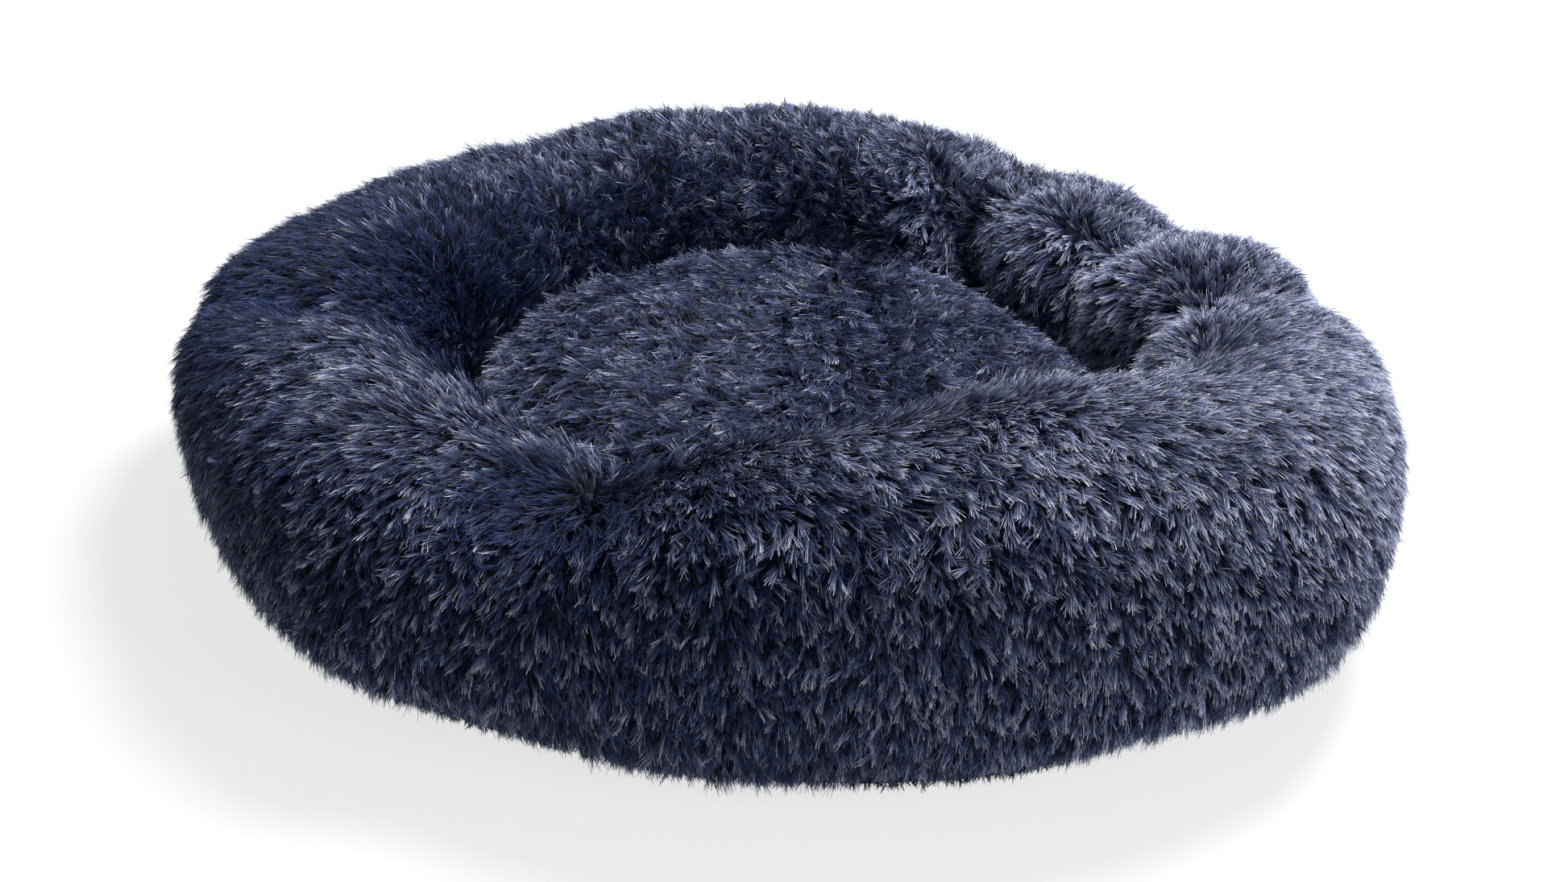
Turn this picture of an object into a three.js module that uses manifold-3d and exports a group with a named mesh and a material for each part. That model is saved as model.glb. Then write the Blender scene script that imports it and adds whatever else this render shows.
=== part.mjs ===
// Round dog bed: a stuffed shag rim round a domed pad, in one cover with a zip in its base.
// Millimetres, +Z up. The origin lies on the floor, under the middle of the bed.
import * as THREE from 'three';
import { mergeVertices } from 'three/addons/utils/BufferGeometryUtils.js';
import Module from 'manifold-3d';

const wasm = await Module();
wasm.setup();

// Overall sizes, measured to the top of the lying pile
const outerRadius = 450;
const rimHeight = 193;
const rimWidth = 205;
const padHeight = 138;
const padShoulderHeight = 62;

// Fabrics and the clearances between layers
const pileDepth = 22;
const linerThickness = 1.5;
const layerClearance = 0.5;
const seamClearance = 0.3;

// Rim section
const widestHeightShare = 0.46;
const rimRoundness = 2.4;
const padRoundness = 3;
const hemHeight = 14;
const wellFootHeight = 8;
const cornerShare = 0.25;

// Lobes of the rim, every 30 degrees anticlockwise from the right-hand side, as shares of the mean sizes
const reachShares = [0.985, 0.985, 0.99, 1.005, 1.01, 1.03, 1.08, 1.01, 0.985, 0.975, 1.025, 1.035];
const crestShares = [0.96, 0.95, 0.97, 1.03, 1.02, 0.97, 0.95, 0.97, 0.98, 1.12, 1.25, 1.08];
const widthShares = [0.94, 1, 0.9, 0.87, 0.9, 0.98, 1.12, 1.02, 0.96, 1, 1.15, 1.07];

// Creases between the lobes: where they lie and how far each draws in the outer wall, crest and inner wall
const creaseDepth = 20;
const creaseSpreadDegrees = 7.5;
const creaseShares = [
  { atDegrees: 7, outer: 0.9, crest: 1, inner: 1 },
  { atDegrees: 32, outer: 0.6, crest: 1, inner: 1.1 },
  { atDegrees: 58, outer: 0.7, crest: 1.3, inner: 1.1 },
  { atDegrees: 128, outer: 0.3, crest: 0.6, inner: 0.4 },
  { atDegrees: 190, outer: 0.4, crest: 0.8, inner: 0.6 },
  { atDegrees: 248, outer: 0.9, crest: 1.2, inner: 0.8 },
  { atDegrees: 306, outer: 0.9, crest: 0.2, inner: 0.2 },
];

// Skirt band, seam and base
const bandThickness = 10;
const bandTuck = 14;
const bandBulgeShare = 0.25;
const seamWidth = 26;
const seamThickness = 4.6;
const clothThickness = 1.6;
const baseInset = 16;
const bindingThickness = 0.5;
const bindingLip = 8;
const panelGap = 0.5;

// Grip dots, moulded on the base cloth in rings
const dotHeight = 1;
const dotRadius = 4;
const dotDraft = 1;
const dotSpacing = 66;
const dotEdgeMargin = 24;
const dotSides = 6;

// Zip: where it lies in the base, and its tapes and teeth
const zipLine = -40;
const zipLevel = 8;
const zipEndMargin = 100;
const toothPitch = 5;
const toothHeight = 3;
const toothReach = 1.6;
const toothNeck = 1.8;
const toothHead = 2.4;
const toothHeadLength = 1.1;
const spineInner = 2.2;
const spineOuter = 3;
const tapeThickness = 0.8;
const tapeInner = 3.3;
const tapeWidth = 16;
const tapeEnd = 22;

// The zip keeps its margin from the pad's edge, in whole teeth
const padRadius = outerRadius - rimWidth;
const chainLength = toothPitch * Math.floor((2 * (padRadius - zipEndMargin)) / toothPitch);

// Recess over the zip, which the base cloth and the pad's insert rise over
const recessEnd = 3;
const recessSlopeShare = 3.6;
const recessEndSlopeShare = 1.1;
const lipOpening = 9;
const sliderHeadroom = 0.6;

// Slider
const sliderLength = 15;
const sliderHeight = 6;
const sliderPlate = 1.2;
const sliderTail = 5;
const sliderNose = 6.8;
const flange = 1.6;
const tapeSlot = 1.4;
const dividerStart = 2;
const dividerWidth = 3.4;
const dividerTip = 0.6;
const archLength = 10.4;
const archWidth = 2.2;
const archPost = 1.4;
const archBar = 1.3;
const archGap = 2.6;

// Pull tab and stops
const pullLength = 25;
const pullWidth = 8;
const pullThickness = 1.6;
const pullPin = 1.3;
const pullWindowLength = 5.6;
const pullWindowWidth = 3.5;
const pullEyeWall = 1.5;
const stopLength = 3;
const stopWall = 0.9;
const stopGrip = 3.4;
const stopClearance = 0.4;

// How finely the soft forms are stepped, and how far a cutting solid runs past what it cuts
const stations = 48;
const archSteps = 8;
const tuckStep = Math.PI / 6;
const domeSteps = 6;
const overrun = 10;

const throughBed = 2 * outerRadius;

const fullTurn = 2 * Math.PI;
const quarterTurn = Math.PI / 2;

// A smooth closed run through a table of shares that are spaced evenly round the bed
function around(shares, angle) {
  const count = shares.length;
  const place = (((angle % fullTurn) + fullTurn) % fullTurn) * (count / fullTurn);
  const index = Math.floor(place);
  const along = place - index;
  const [before, start, end, after] = [-1, 0, 1, 2].map((step) => shares[(index + step + count) % count]);
  const linear = end - before;
  const square = 2 * before - 5 * start + 4 * end - after;
  const cube = 3 * (start - end) + after - before;
  return start + (along * (linear + along * (square + along * cube))) / 2;
}

// How far the creases near an angle draw one side of the rim in
function creased(side, angle) {
  const degrees = THREE.MathUtils.radToDeg(angle);
  return creaseShares.reduce((total, crease) => {
    const away = THREE.MathUtils.euclideanModulo(degrees - crease.atDegrees + 180, 360) - 180;
    const fade = Math.exp(-((away / creaseSpreadDegrees) ** 2));
    return total + creaseDepth * crease[side] * fade;
  }, 0);
}

// The rim's radii and heights at one angle
function rimAt(angle) {
  const reach = outerRadius * around(reachShares, angle);
  const wellWall = reach - rimWidth * around(widthShares, angle);
  const outerWall = reach - creased('outer', angle);
  const innerWall = wellWall + creased('inner', angle);
  const crest = rimHeight * around(crestShares, angle) - creased('crest', angle);
  return {
    wellWall,
    innerWall,
    crest,
    middle: (outerWall + innerWall) / 2,
    halfWidth: (outerWall - innerWall) / 2,
    widest: crest * widestHeightShare,
  };
}

// Cosine and sine of a squared-off circle
function rounded(angle, roundness) {
  const swell = (value) => Math.sign(value) * Math.abs(value) ** (2 / roundness);
  return [swell(Math.cos(angle)), swell(Math.sin(angle))];
}

// The rim's upper arch, from its outer wall over the crest to its inner wall, at a depth under the pile
function rimArch(rim, depth) {
  const steps = Array.from({ length: archSteps + 1 }, (unused, step) => (Math.PI * step) / archSteps);
  return steps.map((angle) => {
    const [across, up] = rounded(angle, rimRoundness);
    const radius = rim.middle + (rim.halfWidth - depth) * across;
    return [radius, rim.widest + (rim.crest - depth - rim.widest) * up];
  });
}

// The outer wall under its widest line: where a height cuts it, and a step between that and the widest line
function rimTuck(rim, depth, bottom, cut) {
  const drop = (rim.widest - cut) / (rim.widest - bottom);
  const lowest = Math.asin(Math.min(drop ** (rimRoundness / 2), 1));
  return [lowest, tuckStep].map((angle) => {
    const [across, down] = rounded(angle, rimRoundness);
    return [rim.middle + (rim.halfWidth - depth) * across, rim.widest - (rim.widest - bottom) * down];
  });
}

// The radius of the pile at the hem, and of the base's edge under it
function hemRadius(rim) {
  return rimTuck(rim, 0, 0, hemHeight)[0][0];
}

function baseRadius(rim) {
  return hemRadius(rim) - baseInset;
}

// The two triangles between a step here and the step after it, at one station and the next
function quad(indices, here, next, inward) {
  const [near, far, nearAfter, farAfter] = [here, next, here + 1, next + 1];
  if (inward) {
    indices.push(near, nearAfter, far, far, nearAfter, farAfter);
  } else {
    indices.push(near, far, nearAfter, far, farAfter, nearAfter);
  }
}

// A closed ring whose section changes round the bed. Its skin is a run of [radius, height] points, from the
// outside over the top; a hollow ring also has a lining, which runs the same way.
function ring(sectionAt) {
  const positions = [];
  const indices = [];
  const sections = Array.from({ length: stations }, (unused, station) => {
    const angle = (fullTurn * station) / stations;
    const { skin, lining = [] } = sectionAt(rimAt(angle));
    [...skin, ...lining].forEach(([radius, height]) => {
      positions.push(radius * Math.cos(angle), radius * Math.sin(angle), height);
    });
    return { skin: skin.length, whole: skin.length + lining.length };
  });
  sections.forEach(({ skin, whole }, station) => {
    const here = station * whole;
    const next = ((station + 1) % stations) * whole;
    for (let point = 0; point + 1 < skin; point += 1) {
      quad(indices, here + point, next + point, false);
    }
    for (let point = skin; point + 1 < whole; point += 1) {
      quad(indices, here + point, next + point, true);
    }
    const skinEnd = skin - 1;
    const back = whole > skin ? whole - 1 : 0;
    indices.push(here + skinEnd, next + skinEnd, here + back, next + skinEnd, next + back, here + back);
    if (whole > skin) {
      indices.push(here + skin, next + skin, here, next + skin, next, here);
    }
  });
  return indexed(positions, indices);
}

// A closed body round the bed's axis. Its skin runs out from the axis and down, and ends on the axis where
// there is no lining; a lining starts on the axis too, and meets the skin at their lower ends.
function dome(profileAt) {
  const positions = [];
  const indices = [];
  const { skin, lining = [[0, 0]] } = profileAt(rimAt(0));
  const closed = skin[skin.length - 1][0] === 0;
  const foot = closed ? skin[skin.length - 1] : lining[0];
  positions.push(0, 0, skin[0][1], 0, 0, foot[1]);
  const poles = 2;
  const skinCount = skin.length - (closed ? 2 : 1);
  const whole = skinCount + lining.length - 1;
  for (let station = 0; station < stations; station += 1) {
    const angle = (fullTurn * station) / stations;
    const profile = profileAt(rimAt(angle));
    const points = [...profile.skin.slice(1, skinCount + 1), ...(profile.lining ?? []).slice(1)];
    points.forEach(([radius, height]) => {
      positions.push(radius * Math.cos(angle), radius * Math.sin(angle), height);
    });
    const here = poles + station * whole;
    const next = poles + ((station + 1) % stations) * whole;
    indices.push(0, here, next);
    for (let point = 0; point + 1 < skinCount; point += 1) {
      quad(indices, here + point, next + point, true);
    }
    const edge = skinCount - 1;
    if (closed) {
      indices.push(here + edge, 1, next + edge);
    } else {
      const rim = whole - 1;
      indices.push(here + edge, here + rim, next + edge, next + edge, here + rim, next + rim);
      indices.push(1, next + skinCount, here + skinCount);
      for (let point = skinCount; point + 1 < whole; point += 1) {
        quad(indices, here + point, next + point, false);
      }
    }
  }
  return indexed(positions, indices);
}

function indexed(positions, indices) {
  const geometry = new THREE.BufferGeometry();
  geometry.setAttribute('position', new THREE.Float32BufferAttribute(positions, 3));
  geometry.setIndex(indices);
  return geometry;
}

// Between three.js geometry and solids that can be joined and cut
function solid(geometry) {
  const bare = geometry.clone();
  bare.deleteAttribute('normal');
  bare.deleteAttribute('uv');
  const merged = mergeVertices(bare);
  return new wasm.Manifold(new wasm.Mesh({
    numProp: 3,
    vertProperties: new Float32Array(merged.attributes.position.array),
    triVerts: new Uint32Array(merged.index.array),
  }));
}

function geometryOf(manifold) {
  const mesh = manifold.getMesh();
  return indexed(Array.from(mesh.vertProperties), Array.from(mesh.triVerts));
}

function joined(solids) {
  return solids.reduce((total, next) => total.add(next));
}

function block(x0, x1, y0, y1, z0, z1) {
  const box = new THREE.BoxGeometry(x1 - x0, y1 - y0, z1 - z0);
  return box.translate((x0 + x1) / 2, (y0 + y1) / 2, (z0 + z1) / 2);
}

function outline(points) {
  return new THREE.Shape(points.map(([x, y]) => new THREE.Vector2(x, y)));
}

function extruded(points, depth) {
  return new THREE.ExtrudeGeometry(outline(points), { depth, bevelEnabled: false });
}

// A section drawn across the zip, as [y, z] points, run along it from x0 to x1
function alongZip(points, x0, x1) {
  return extruded(points, x1 - x0).rotateX(quarterTurn).rotateZ(quarterTurn).translate(x0, 0, 0);
}

// Rim cover: the shag shell, open underneath, with its hem outside and its well foot inside
function rimCover() {
  const layer = (rim, depth) => [
    ...rimTuck(rim, depth, 0, hemHeight),
    ...rimArch(rim, depth),
    [rim.innerWall + depth, wellFootHeight],
  ];
  return ring((rim) => ({ skin: layer(rim, 0), lining: layer(rim, pileDepth) }));
}

// Skirt band: short pile from the cover's hem down to the base
const baseTop = dotHeight + clothThickness;
const bindingTop = baseTop + seamClearance + bindingThickness;

function skirtBand() {
  return ring((rim) => {
    const hem = hemRadius(rim);
    const top = hemHeight - seamClearance;
    const bottom = bindingTop + seamClearance;
    const bulge = hem - bandTuck * bandBulgeShare;
    const skin = [
      [hem - bandTuck, bottom],
      [bulge, (top + bottom) / 2],
      [hem, top],
      [hem - bandThickness, top],
      [hem - bandTuck - bandThickness, bottom],
    ];
    return { skin };
  });
}

// Rim insert: a casing of two rings, sewn at its widest lines, and the fibre in it
const insertBottom = baseTop + layerClearance;

function rimLower(rim, depth, bottom) {
  const inner = rim.innerWall + depth;
  const corner = (rim.widest - bottom) * cornerShare;
  return [
    [inner, bottom + corner],
    [inner + corner, bottom],
    [rim.middle, bottom],
    ...rimTuck(rim, depth, bottom, hemHeight),
  ];
}

const linerDepth = pileDepth + layerClearance;
const linerInside = linerDepth + linerThickness;
const linerSeam = seamClearance / 2;

function rimLinerUpper() {
  return ring((rim) => {
    const seam = rim.widest + linerSeam;
    const layer = (depth) => rimArch(rim, depth).map(([radius, height]) => [radius, Math.max(height, seam)]);
    return { skin: layer(linerDepth), lining: layer(linerInside) };
  });
}

function rimLinerLower() {
  return ring((rim) => {
    const seam = rim.widest - linerSeam;
    const layer = (depth, bottom) => [
      [rim.innerWall + depth, seam],
      ...rimLower(rim, depth, bottom),
      [rim.middle + rim.halfWidth - depth, seam],
    ];
    const lining = layer(linerInside, insertBottom + linerThickness);
    return { skin: layer(linerDepth, insertBottom), lining };
  });
}

function rimFill() {
  const depth = linerInside + layerClearance;
  const bottom = insertBottom + linerThickness + layerClearance;
  return ring((rim) => ({ skin: [...rimLower(rim, depth, bottom), ...rimArch(rim, depth)] }));
}

// Pad: a domed top, its side and a flat bottom, at a depth under the pile
function padTop(rim, depth) {
  const radius = rim.wellWall - layerClearance - depth;
  const rise = padHeight - depth - padShoulderHeight;
  const steps = Array.from({ length: domeSteps + 1 }, (unused, step) => quarterTurn * (1 - step / domeSteps));
  return steps.map((angle, step) => {
    const [across, up] = rounded(angle, padRoundness);
    return [step === 0 ? 0 : radius * across, padShoulderHeight + rise * up];
  });
}

function padCover() {
  const layer = (rim, depth) => [...padTop(rim, depth), [rim.wellWall - layerClearance - depth, wellFootHeight]];
  return dome((rim) => ({ skin: layer(rim, 0), lining: layer(rim, pileDepth) }));
}

function padBody(depth, bottom) {
  return solid(dome((rim) => {
    const radius = rim.wellWall - layerClearance - depth;
    const corner = (padShoulderHeight - bottom) * cornerShare;
    return { skin: [...padTop(rim, depth), [radius, bottom + corner], [radius - corner, bottom], [0, bottom]] };
  }));
}

// The recess over the zip, lifted by what lies on it: a long hip-ended rise
const lipUnderside = zipLevel + tapeThickness / 2 + seamClearance;
const tapeHalfLength = chainLength / 2 + tapeEnd;
const recessHalfWidth = tapeInner + tapeWidth + recessEnd;
const recessHalfLength = tapeHalfLength + recessEnd;

function recess(lift, bottom) {
  const top = lipUnderside + lift;
  const rise = top - bottom;
  const box = new THREE.BoxGeometry(2, 2, 2);
  const place = box.attributes.position;
  for (let corner = 0; corner < place.count; corner += 1) {
    const upper = place.getZ(corner) > 0;
    const halfLength = recessHalfLength + (upper ? 0 : rise * recessEndSlopeShare);
    const halfWidth = recessHalfWidth + (upper ? 0 : rise * recessSlopeShare);
    place.setXYZ(
      corner,
      place.getX(corner) * halfLength,
      zipLine + place.getY(corner) * halfWidth,
      upper ? top : bottom,
    );
  }
  return solid(box);
}

const sliderTop = zipLevel + sliderHeight / 2;
const grooveLift = sliderTop + sliderHeadroom - lipUnderside;

function wideBlock(y0, y1, z0, z1) {
  return solid(block(-throughBed, throughBed, y0, y1, z0, z1));
}

function padLinerUpper() {
  const shell = padBody(linerDepth, insertBottom).subtract(padBody(linerInside, insertBottom + linerThickness));
  const above = wideBlock(-throughBed, throughBed, padShoulderHeight + linerSeam, padHeight);
  return geometryOf(shell.intersect(above));
}

function padLinerLower() {
  const outside = padBody(linerDepth, insertBottom).subtract(recess(grooveLift, -overrun));
  const cavityBottom = insertBottom + linerThickness;
  const cavity = padBody(linerInside, cavityBottom).subtract(recess(grooveLift + linerThickness, -overrun));
  const below = wideBlock(-throughBed, throughBed, 0, padShoulderHeight - linerSeam);
  return geometryOf(outside.subtract(cavity).intersect(below));
}

function padFill() {
  const depth = linerInside + layerClearance;
  const body = padBody(depth, insertBottom + linerThickness + layerClearance);
  return geometryOf(body.subtract(recess(grooveLift + linerThickness + layerClearance, -overrun)));
}

// The bound seam at the bottom of the well
function wellSeamBinding() {
  return ring((rim) => {
    const inside = rim.wellWall - seamWidth / 2;
    const bottom = baseTop + layerClearance;
    const top = Math.min(bottom + seamThickness, wellFootHeight - seamClearance);
    const outside = inside + seamWidth;
    return { skin: [[inside, bottom], [outside, bottom], [outside, top], [inside, top]] };
  });
}

// Base cloth: two panels that rise to lips over the zip, with grip dots
function baseEdge() {
  return Array.from({ length: stations }, (unused, station) => {
    const angle = (fullTurn * station) / stations;
    const radius = baseRadius(rimAt(angle));
    return [radius * Math.cos(angle), radius * Math.sin(angle)];
  });
}

function gripDots() {
  const dots = [];
  const valley = recessHalfWidth + (lipUnderside - dotHeight) * recessSlopeShare + dotRadius;
  const valleyEnd = recessHalfLength + (lipUnderside - dotHeight) * recessEndSlopeShare + dotRadius;
  for (let radius = 0; radius < throughBed; radius += dotSpacing) {
    const count = Math.max(1, Math.round((fullTurn * radius) / dotSpacing));
    for (let dot = 0; dot < count; dot += 1) {
      const angle = (fullTurn * dot) / count;
      const x = radius * Math.cos(angle);
      const y = radius * Math.sin(angle);
      const fromZip = Math.abs(y - zipLine);
      const overZip = Math.abs(x) < valleyEnd && fromZip < valley;
      const overSplit = fromZip < dotRadius + dotDraft + panelGap;
      const inside = radius < baseRadius(rimAt(angle)) - dotEdgeMargin;
      if (inside && !overZip && !overSplit) {
        const height = dotHeight + clothThickness / 2;
        const shape = new THREE.CylinderGeometry(dotRadius + dotDraft, dotRadius, height, dotSides);
        dots.push(solid(shape.rotateX(quarterTurn).translate(x, y, height / 2)));
      }
    }
  }
  return dots;
}

function baseCloth() {
  const slab = solid(extruded(baseEdge(), clothThickness).translate(0, 0, dotHeight));
  const rise = recess(clothThickness, dotHeight);
  const window = solid(block(
    -tapeHalfLength,
    tapeHalfLength,
    zipLine - lipOpening,
    zipLine + lipOpening,
    0,
    lipUnderside + clothThickness + overrun,
  ));
  const cloth = slab.add(rise).subtract(recess(0, -overrun)).subtract(window);
  return joined([cloth, ...gripDots()]);
}

const wholeBase = baseCloth();

function basePanel(side) {
  const near = zipLine + (side * panelGap) / 2;
  const far = side * throughBed;
  const half = wideBlock(Math.min(near, far), Math.max(near, far), -overrun, padHeight);
  return geometryOf(wholeBase.intersect(half));
}

// Binding folded round the base's edge
function baseBinding() {
  return ring((rim) => {
    const edge = baseRadius(rim);
    const inside = edge - bindingLip;
    const under = dotHeight - seamClearance;
    const over = baseTop + seamClearance;
    const skin = [
      [inside, under - bindingThickness],
      [edge + seamClearance + bindingThickness, under - bindingThickness],
      [edge + seamClearance + bindingThickness, over + bindingThickness],
      [inside, over + bindingThickness],
      [inside, over],
      [edge + seamClearance, over],
      [edge + seamClearance, under],
      [inside, under],
    ];
    return { skin };
  });
}

// Zip tape on one side of the zip's line
function zipTape(side) {
  const near = zipLine + side * tapeInner;
  const far = zipLine + side * (tapeInner + tapeWidth);
  return block(
    -tapeHalfLength,
    tapeHalfLength,
    Math.min(near, far),
    Math.max(near, far),
    zipLevel - tapeThickness / 2,
    zipLevel + tapeThickness / 2,
  );
}

// One row of moulded teeth on its spine; the other row stands half a pitch along, with its heads between these
function zipChain(side) {
  const teeth = Math.floor(chainLength / toothPitch) - (side > 0 ? 1 : 0);
  const start = -chainLength / 2 + (side > 0 ? toothPitch : toothPitch / 2);
  const neck = toothNeck / 2;
  const head = toothHead / 2;
  const shoulder = toothReach - toothHeadLength;
  const points = [[chainLength / 2, -spineInner], [chainLength / 2, -spineOuter]];
  points.push([-chainLength / 2, -spineOuter], [-chainLength / 2, -spineInner]);
  for (let tooth = 0; tooth < teeth; tooth += 1) {
    const middle = start + tooth * toothPitch;
    points.push([middle - neck, -spineInner], [middle - neck, shoulder]);
    points.push([middle - head, toothReach], [middle + head, toothReach]);
    points.push([middle + neck, shoulder], [middle + neck, -spineInner]);
  }
  const placed = points.map(([x, y]) => [x, zipLine - side * y]);
  return extruded(placed, toothHeight).translate(0, 0, zipLevel - toothHeight / 2);
}

// Slider: two plates joined by the divider at its nose, with flanges that hold the rows together
const chainEnd = chainLength / 2;
const sliderRest = chainEnd - dividerStart + stopClearance;

function sliderPlan(inset) {
  const tail = sliderTail - inset;
  const nose = sliderNose - inset;
  const half = sliderLength / 2;
  const open = inset > 0 ? overrun : 0;
  return [
    [-half - open, -tail],
    [0, -tail],
    [half / 2, -nose],
    [half + open, -nose],
    [half + open, nose],
    [half / 2, nose],
    [0, tail],
    [-half - open, tail],
  ];
}

function slider() {
  const half = sliderHeight / 2;
  const channel = sliderHeight - 2 * sliderPlate;
  const shell = solid(extruded(sliderPlan(0), sliderHeight).translate(0, 0, -half));
  const hollow = solid(extruded(sliderPlan(flange), channel).translate(0, 0, -channel / 2));
  const slot = solid(block(-sliderLength, sliderLength, -sliderLength, sliderLength, -tapeSlot / 2, tapeSlot / 2));
  const nose = sliderLength / 2;
  const divider = solid(extruded(
    [
      [dividerStart, -dividerTip / 2],
      [nose - dividerTip, -dividerWidth / 2],
      [nose, -dividerTip / 2],
      [nose, dividerTip / 2],
      [nose - dividerTip, dividerWidth / 2],
      [dividerStart, dividerTip / 2],
    ],
    channel + sliderPlate,
  ).translate(0, 0, -(channel + sliderPlate) / 2));
  const arch = solid(extruded(archOutline(), archWidth).rotateX(quarterTurn).translate(0, archWidth / 2, 0));
  const body = joined([shell.subtract(hollow).subtract(slot), divider, arch]);
  return geometryOf(body).translate(sliderRest, zipLine, zipLevel);
}

// The arch under the slider that carries the pull, as [x, z] points
function archOutline() {
  const plate = -sliderHeight / 2;
  const bar = plate - archGap;
  const outside = archLength / 2;
  const inside = outside - archPost;
  const rooted = plate + sliderPlate / 2;
  return [
    [-outside, rooted],
    [-outside, bar - archBar / 2],
    [-inside, bar - archBar],
    [inside, bar - archBar],
    [outside, bar - archBar / 2],
    [outside, rooted],
    [inside, rooted],
    [inside, bar],
    [-inside, bar],
    [-inside, rooted],
  ];
}

// Pull tab: its pin lies in the arch, and its window lets the arch's post through
const pullLevel = zipLevel - sliderHeight / 2 - archGap / 2;

function pull() {
  const half = pullWidth / 2;
  const eye = pullWindowWidth / 2 + pullEyeWall;
  const pin = pullPin / 2;
  const windowEnd = -pin - pullWindowLength;
  const neck = windowEnd - pullEyeWall;
  const tip = pin - pullLength;
  const tab = outline([
    [pin, -eye],
    [pin, eye],
    [neck, eye],
    [neck - pullEyeWall, half],
    [tip + half / 2, half],
    [tip, half / 2],
    [tip, -half / 2],
    [tip + half / 2, -half],
    [neck - pullEyeWall, -half],
    [neck, -eye],
  ]);
  tab.holes.push(new THREE.Path([
    new THREE.Vector2(-pin, -pullWindowWidth / 2),
    new THREE.Vector2(windowEnd, -pullWindowWidth / 2),
    new THREE.Vector2(windowEnd, pullWindowWidth / 2),
    new THREE.Vector2(-pin, pullWindowWidth / 2),
  ]));
  const plate = new THREE.ExtrudeGeometry(tab, { depth: pullThickness, bevelEnabled: false });
  return plate.translate(sliderRest, zipLine, pullLevel - pullThickness / 2);
}

// Stops: a clip on each tape past the slider's nose, and a block across both tapes at the other end
const stopHalfHeight = tapeThickness / 2 + seamClearance + stopWall;
const stopSlot = tapeThickness / 2 + seamClearance;
const stopInner = tapeInner - seamClearance;

function topStop(side) {
  const start = sliderRest + sliderLength / 2 + stopClearance;
  const back = stopInner - stopWall;
  const front = stopInner + stopGrip;
  const clip = [
    [back, -stopHalfHeight],
    [front, -stopHalfHeight],
    [front, -stopSlot],
    [stopInner, -stopSlot],
    [stopInner, stopSlot],
    [front, stopSlot],
    [front, stopHalfHeight],
    [back, stopHalfHeight],
  ];
  const placed = clip.map(([y, z]) => [zipLine + side * y, zipLevel + z]);
  return alongZip(placed, start, start + stopLength);
}

function bottomStop() {
  const end = -chainEnd - stopClearance;
  const wide = stopInner + stopGrip;
  const section = [
    [-wide, -stopHalfHeight],
    [wide, -stopHalfHeight],
    [wide, -stopSlot],
    [stopInner, -stopSlot],
    [stopInner, stopSlot],
    [wide, stopSlot],
    [wide, stopHalfHeight],
    [-wide, stopHalfHeight],
    [-wide, stopSlot],
    [-stopInner, stopSlot],
    [-stopInner, -stopSlot],
    [-wide, -stopSlot],
  ];
  const placed = section.map(([y, z]) => [zipLine + y, zipLevel + z]);
  return alongZip(placed, end - stopLength, end);
}

// Colours and finishes
const shag = { color: 0x3a4059, roughness: 1, metalness: 0 };
const padShag = { color: 0x434a66, roughness: 1, metalness: 0 };
const shortPile = { color: 0x1e2234, roughness: 1, metalness: 0 };
const nonWoven = { color: 0xd9d9d6, roughness: 0.9, metalness: 0 };
const fibre = { color: 0xf2f2ee, roughness: 1, metalness: 0 };
const coatedCloth = { color: 0x23283a, roughness: 0.7, metalness: 0 };
const tapeWeave = { color: 0x1b1f30, roughness: 0.8, metalness: 0 };
const acetal = { color: 0x20253a, roughness: 0.45, metalness: 0 };
const zincAlloy = { color: 0x6f7277, roughness: 0.35, metalness: 0.9 };

const bed = new THREE.Group();

function piece(name, geometry, finish) {
  geometry.computeVertexNormals();
  const mesh = new THREE.Mesh(geometry, new THREE.MeshStandardMaterial(finish));
  mesh.name = name;
  bed.add(mesh);
}

const front = -1;
const rear = 1;

piece('rim_cover', rimCover(), shag);
piece('pad_cover', padCover(), padShag);
piece('skirt_band', skirtBand(), shortPile);
piece('well_seam_binding', wellSeamBinding(), tapeWeave);
piece('rim_liner_upper', rimLinerUpper(), nonWoven);
piece('rim_liner_lower', rimLinerLower(), nonWoven);
piece('rim_fill', rimFill(), fibre);
piece('pad_liner_upper', padLinerUpper(), nonWoven);
piece('pad_liner_lower', padLinerLower(), nonWoven);
piece('pad_fill', padFill(), fibre);
piece('base_panel_front', basePanel(front), coatedCloth);
piece('base_panel_rear', basePanel(rear), coatedCloth);
piece('base_binding', baseBinding(), tapeWeave);
piece('zip_tape_front', zipTape(front), tapeWeave);
piece('zip_tape_rear', zipTape(rear), tapeWeave);
piece('zip_chain_front', zipChain(front), acetal);
piece('zip_chain_rear', zipChain(rear), acetal);
piece('zip_slider', slider(), zincAlloy);
piece('zip_pull', pull(), zincAlloy);
piece('top_stop_front', topStop(front), acetal);
piece('top_stop_rear', topStop(rear), acetal);
piece('bottom_stop', bottomStop(), acetal);

// The lobes lean a little, so the bed is moved to stand with the middle of its box over the origin
const middle = new THREE.Box3().setFromObject(bed).getCenter(new THREE.Vector3());
bed.position.set(-middle.x, -middle.y, 0);

export default bed;
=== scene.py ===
"""Round dog bed: a stuffed rim round a domed pad, under long navy shag with frosted tips.

Metres, +Z up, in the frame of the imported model. Every soft shape starts from the model's own solid. Places
on the rim have a clock angle, in degrees anticlockwise from the right, and a section angle round the core:
0 on the outer wall, 90 on the crest and 180 on the inner wall.
"""

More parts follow.
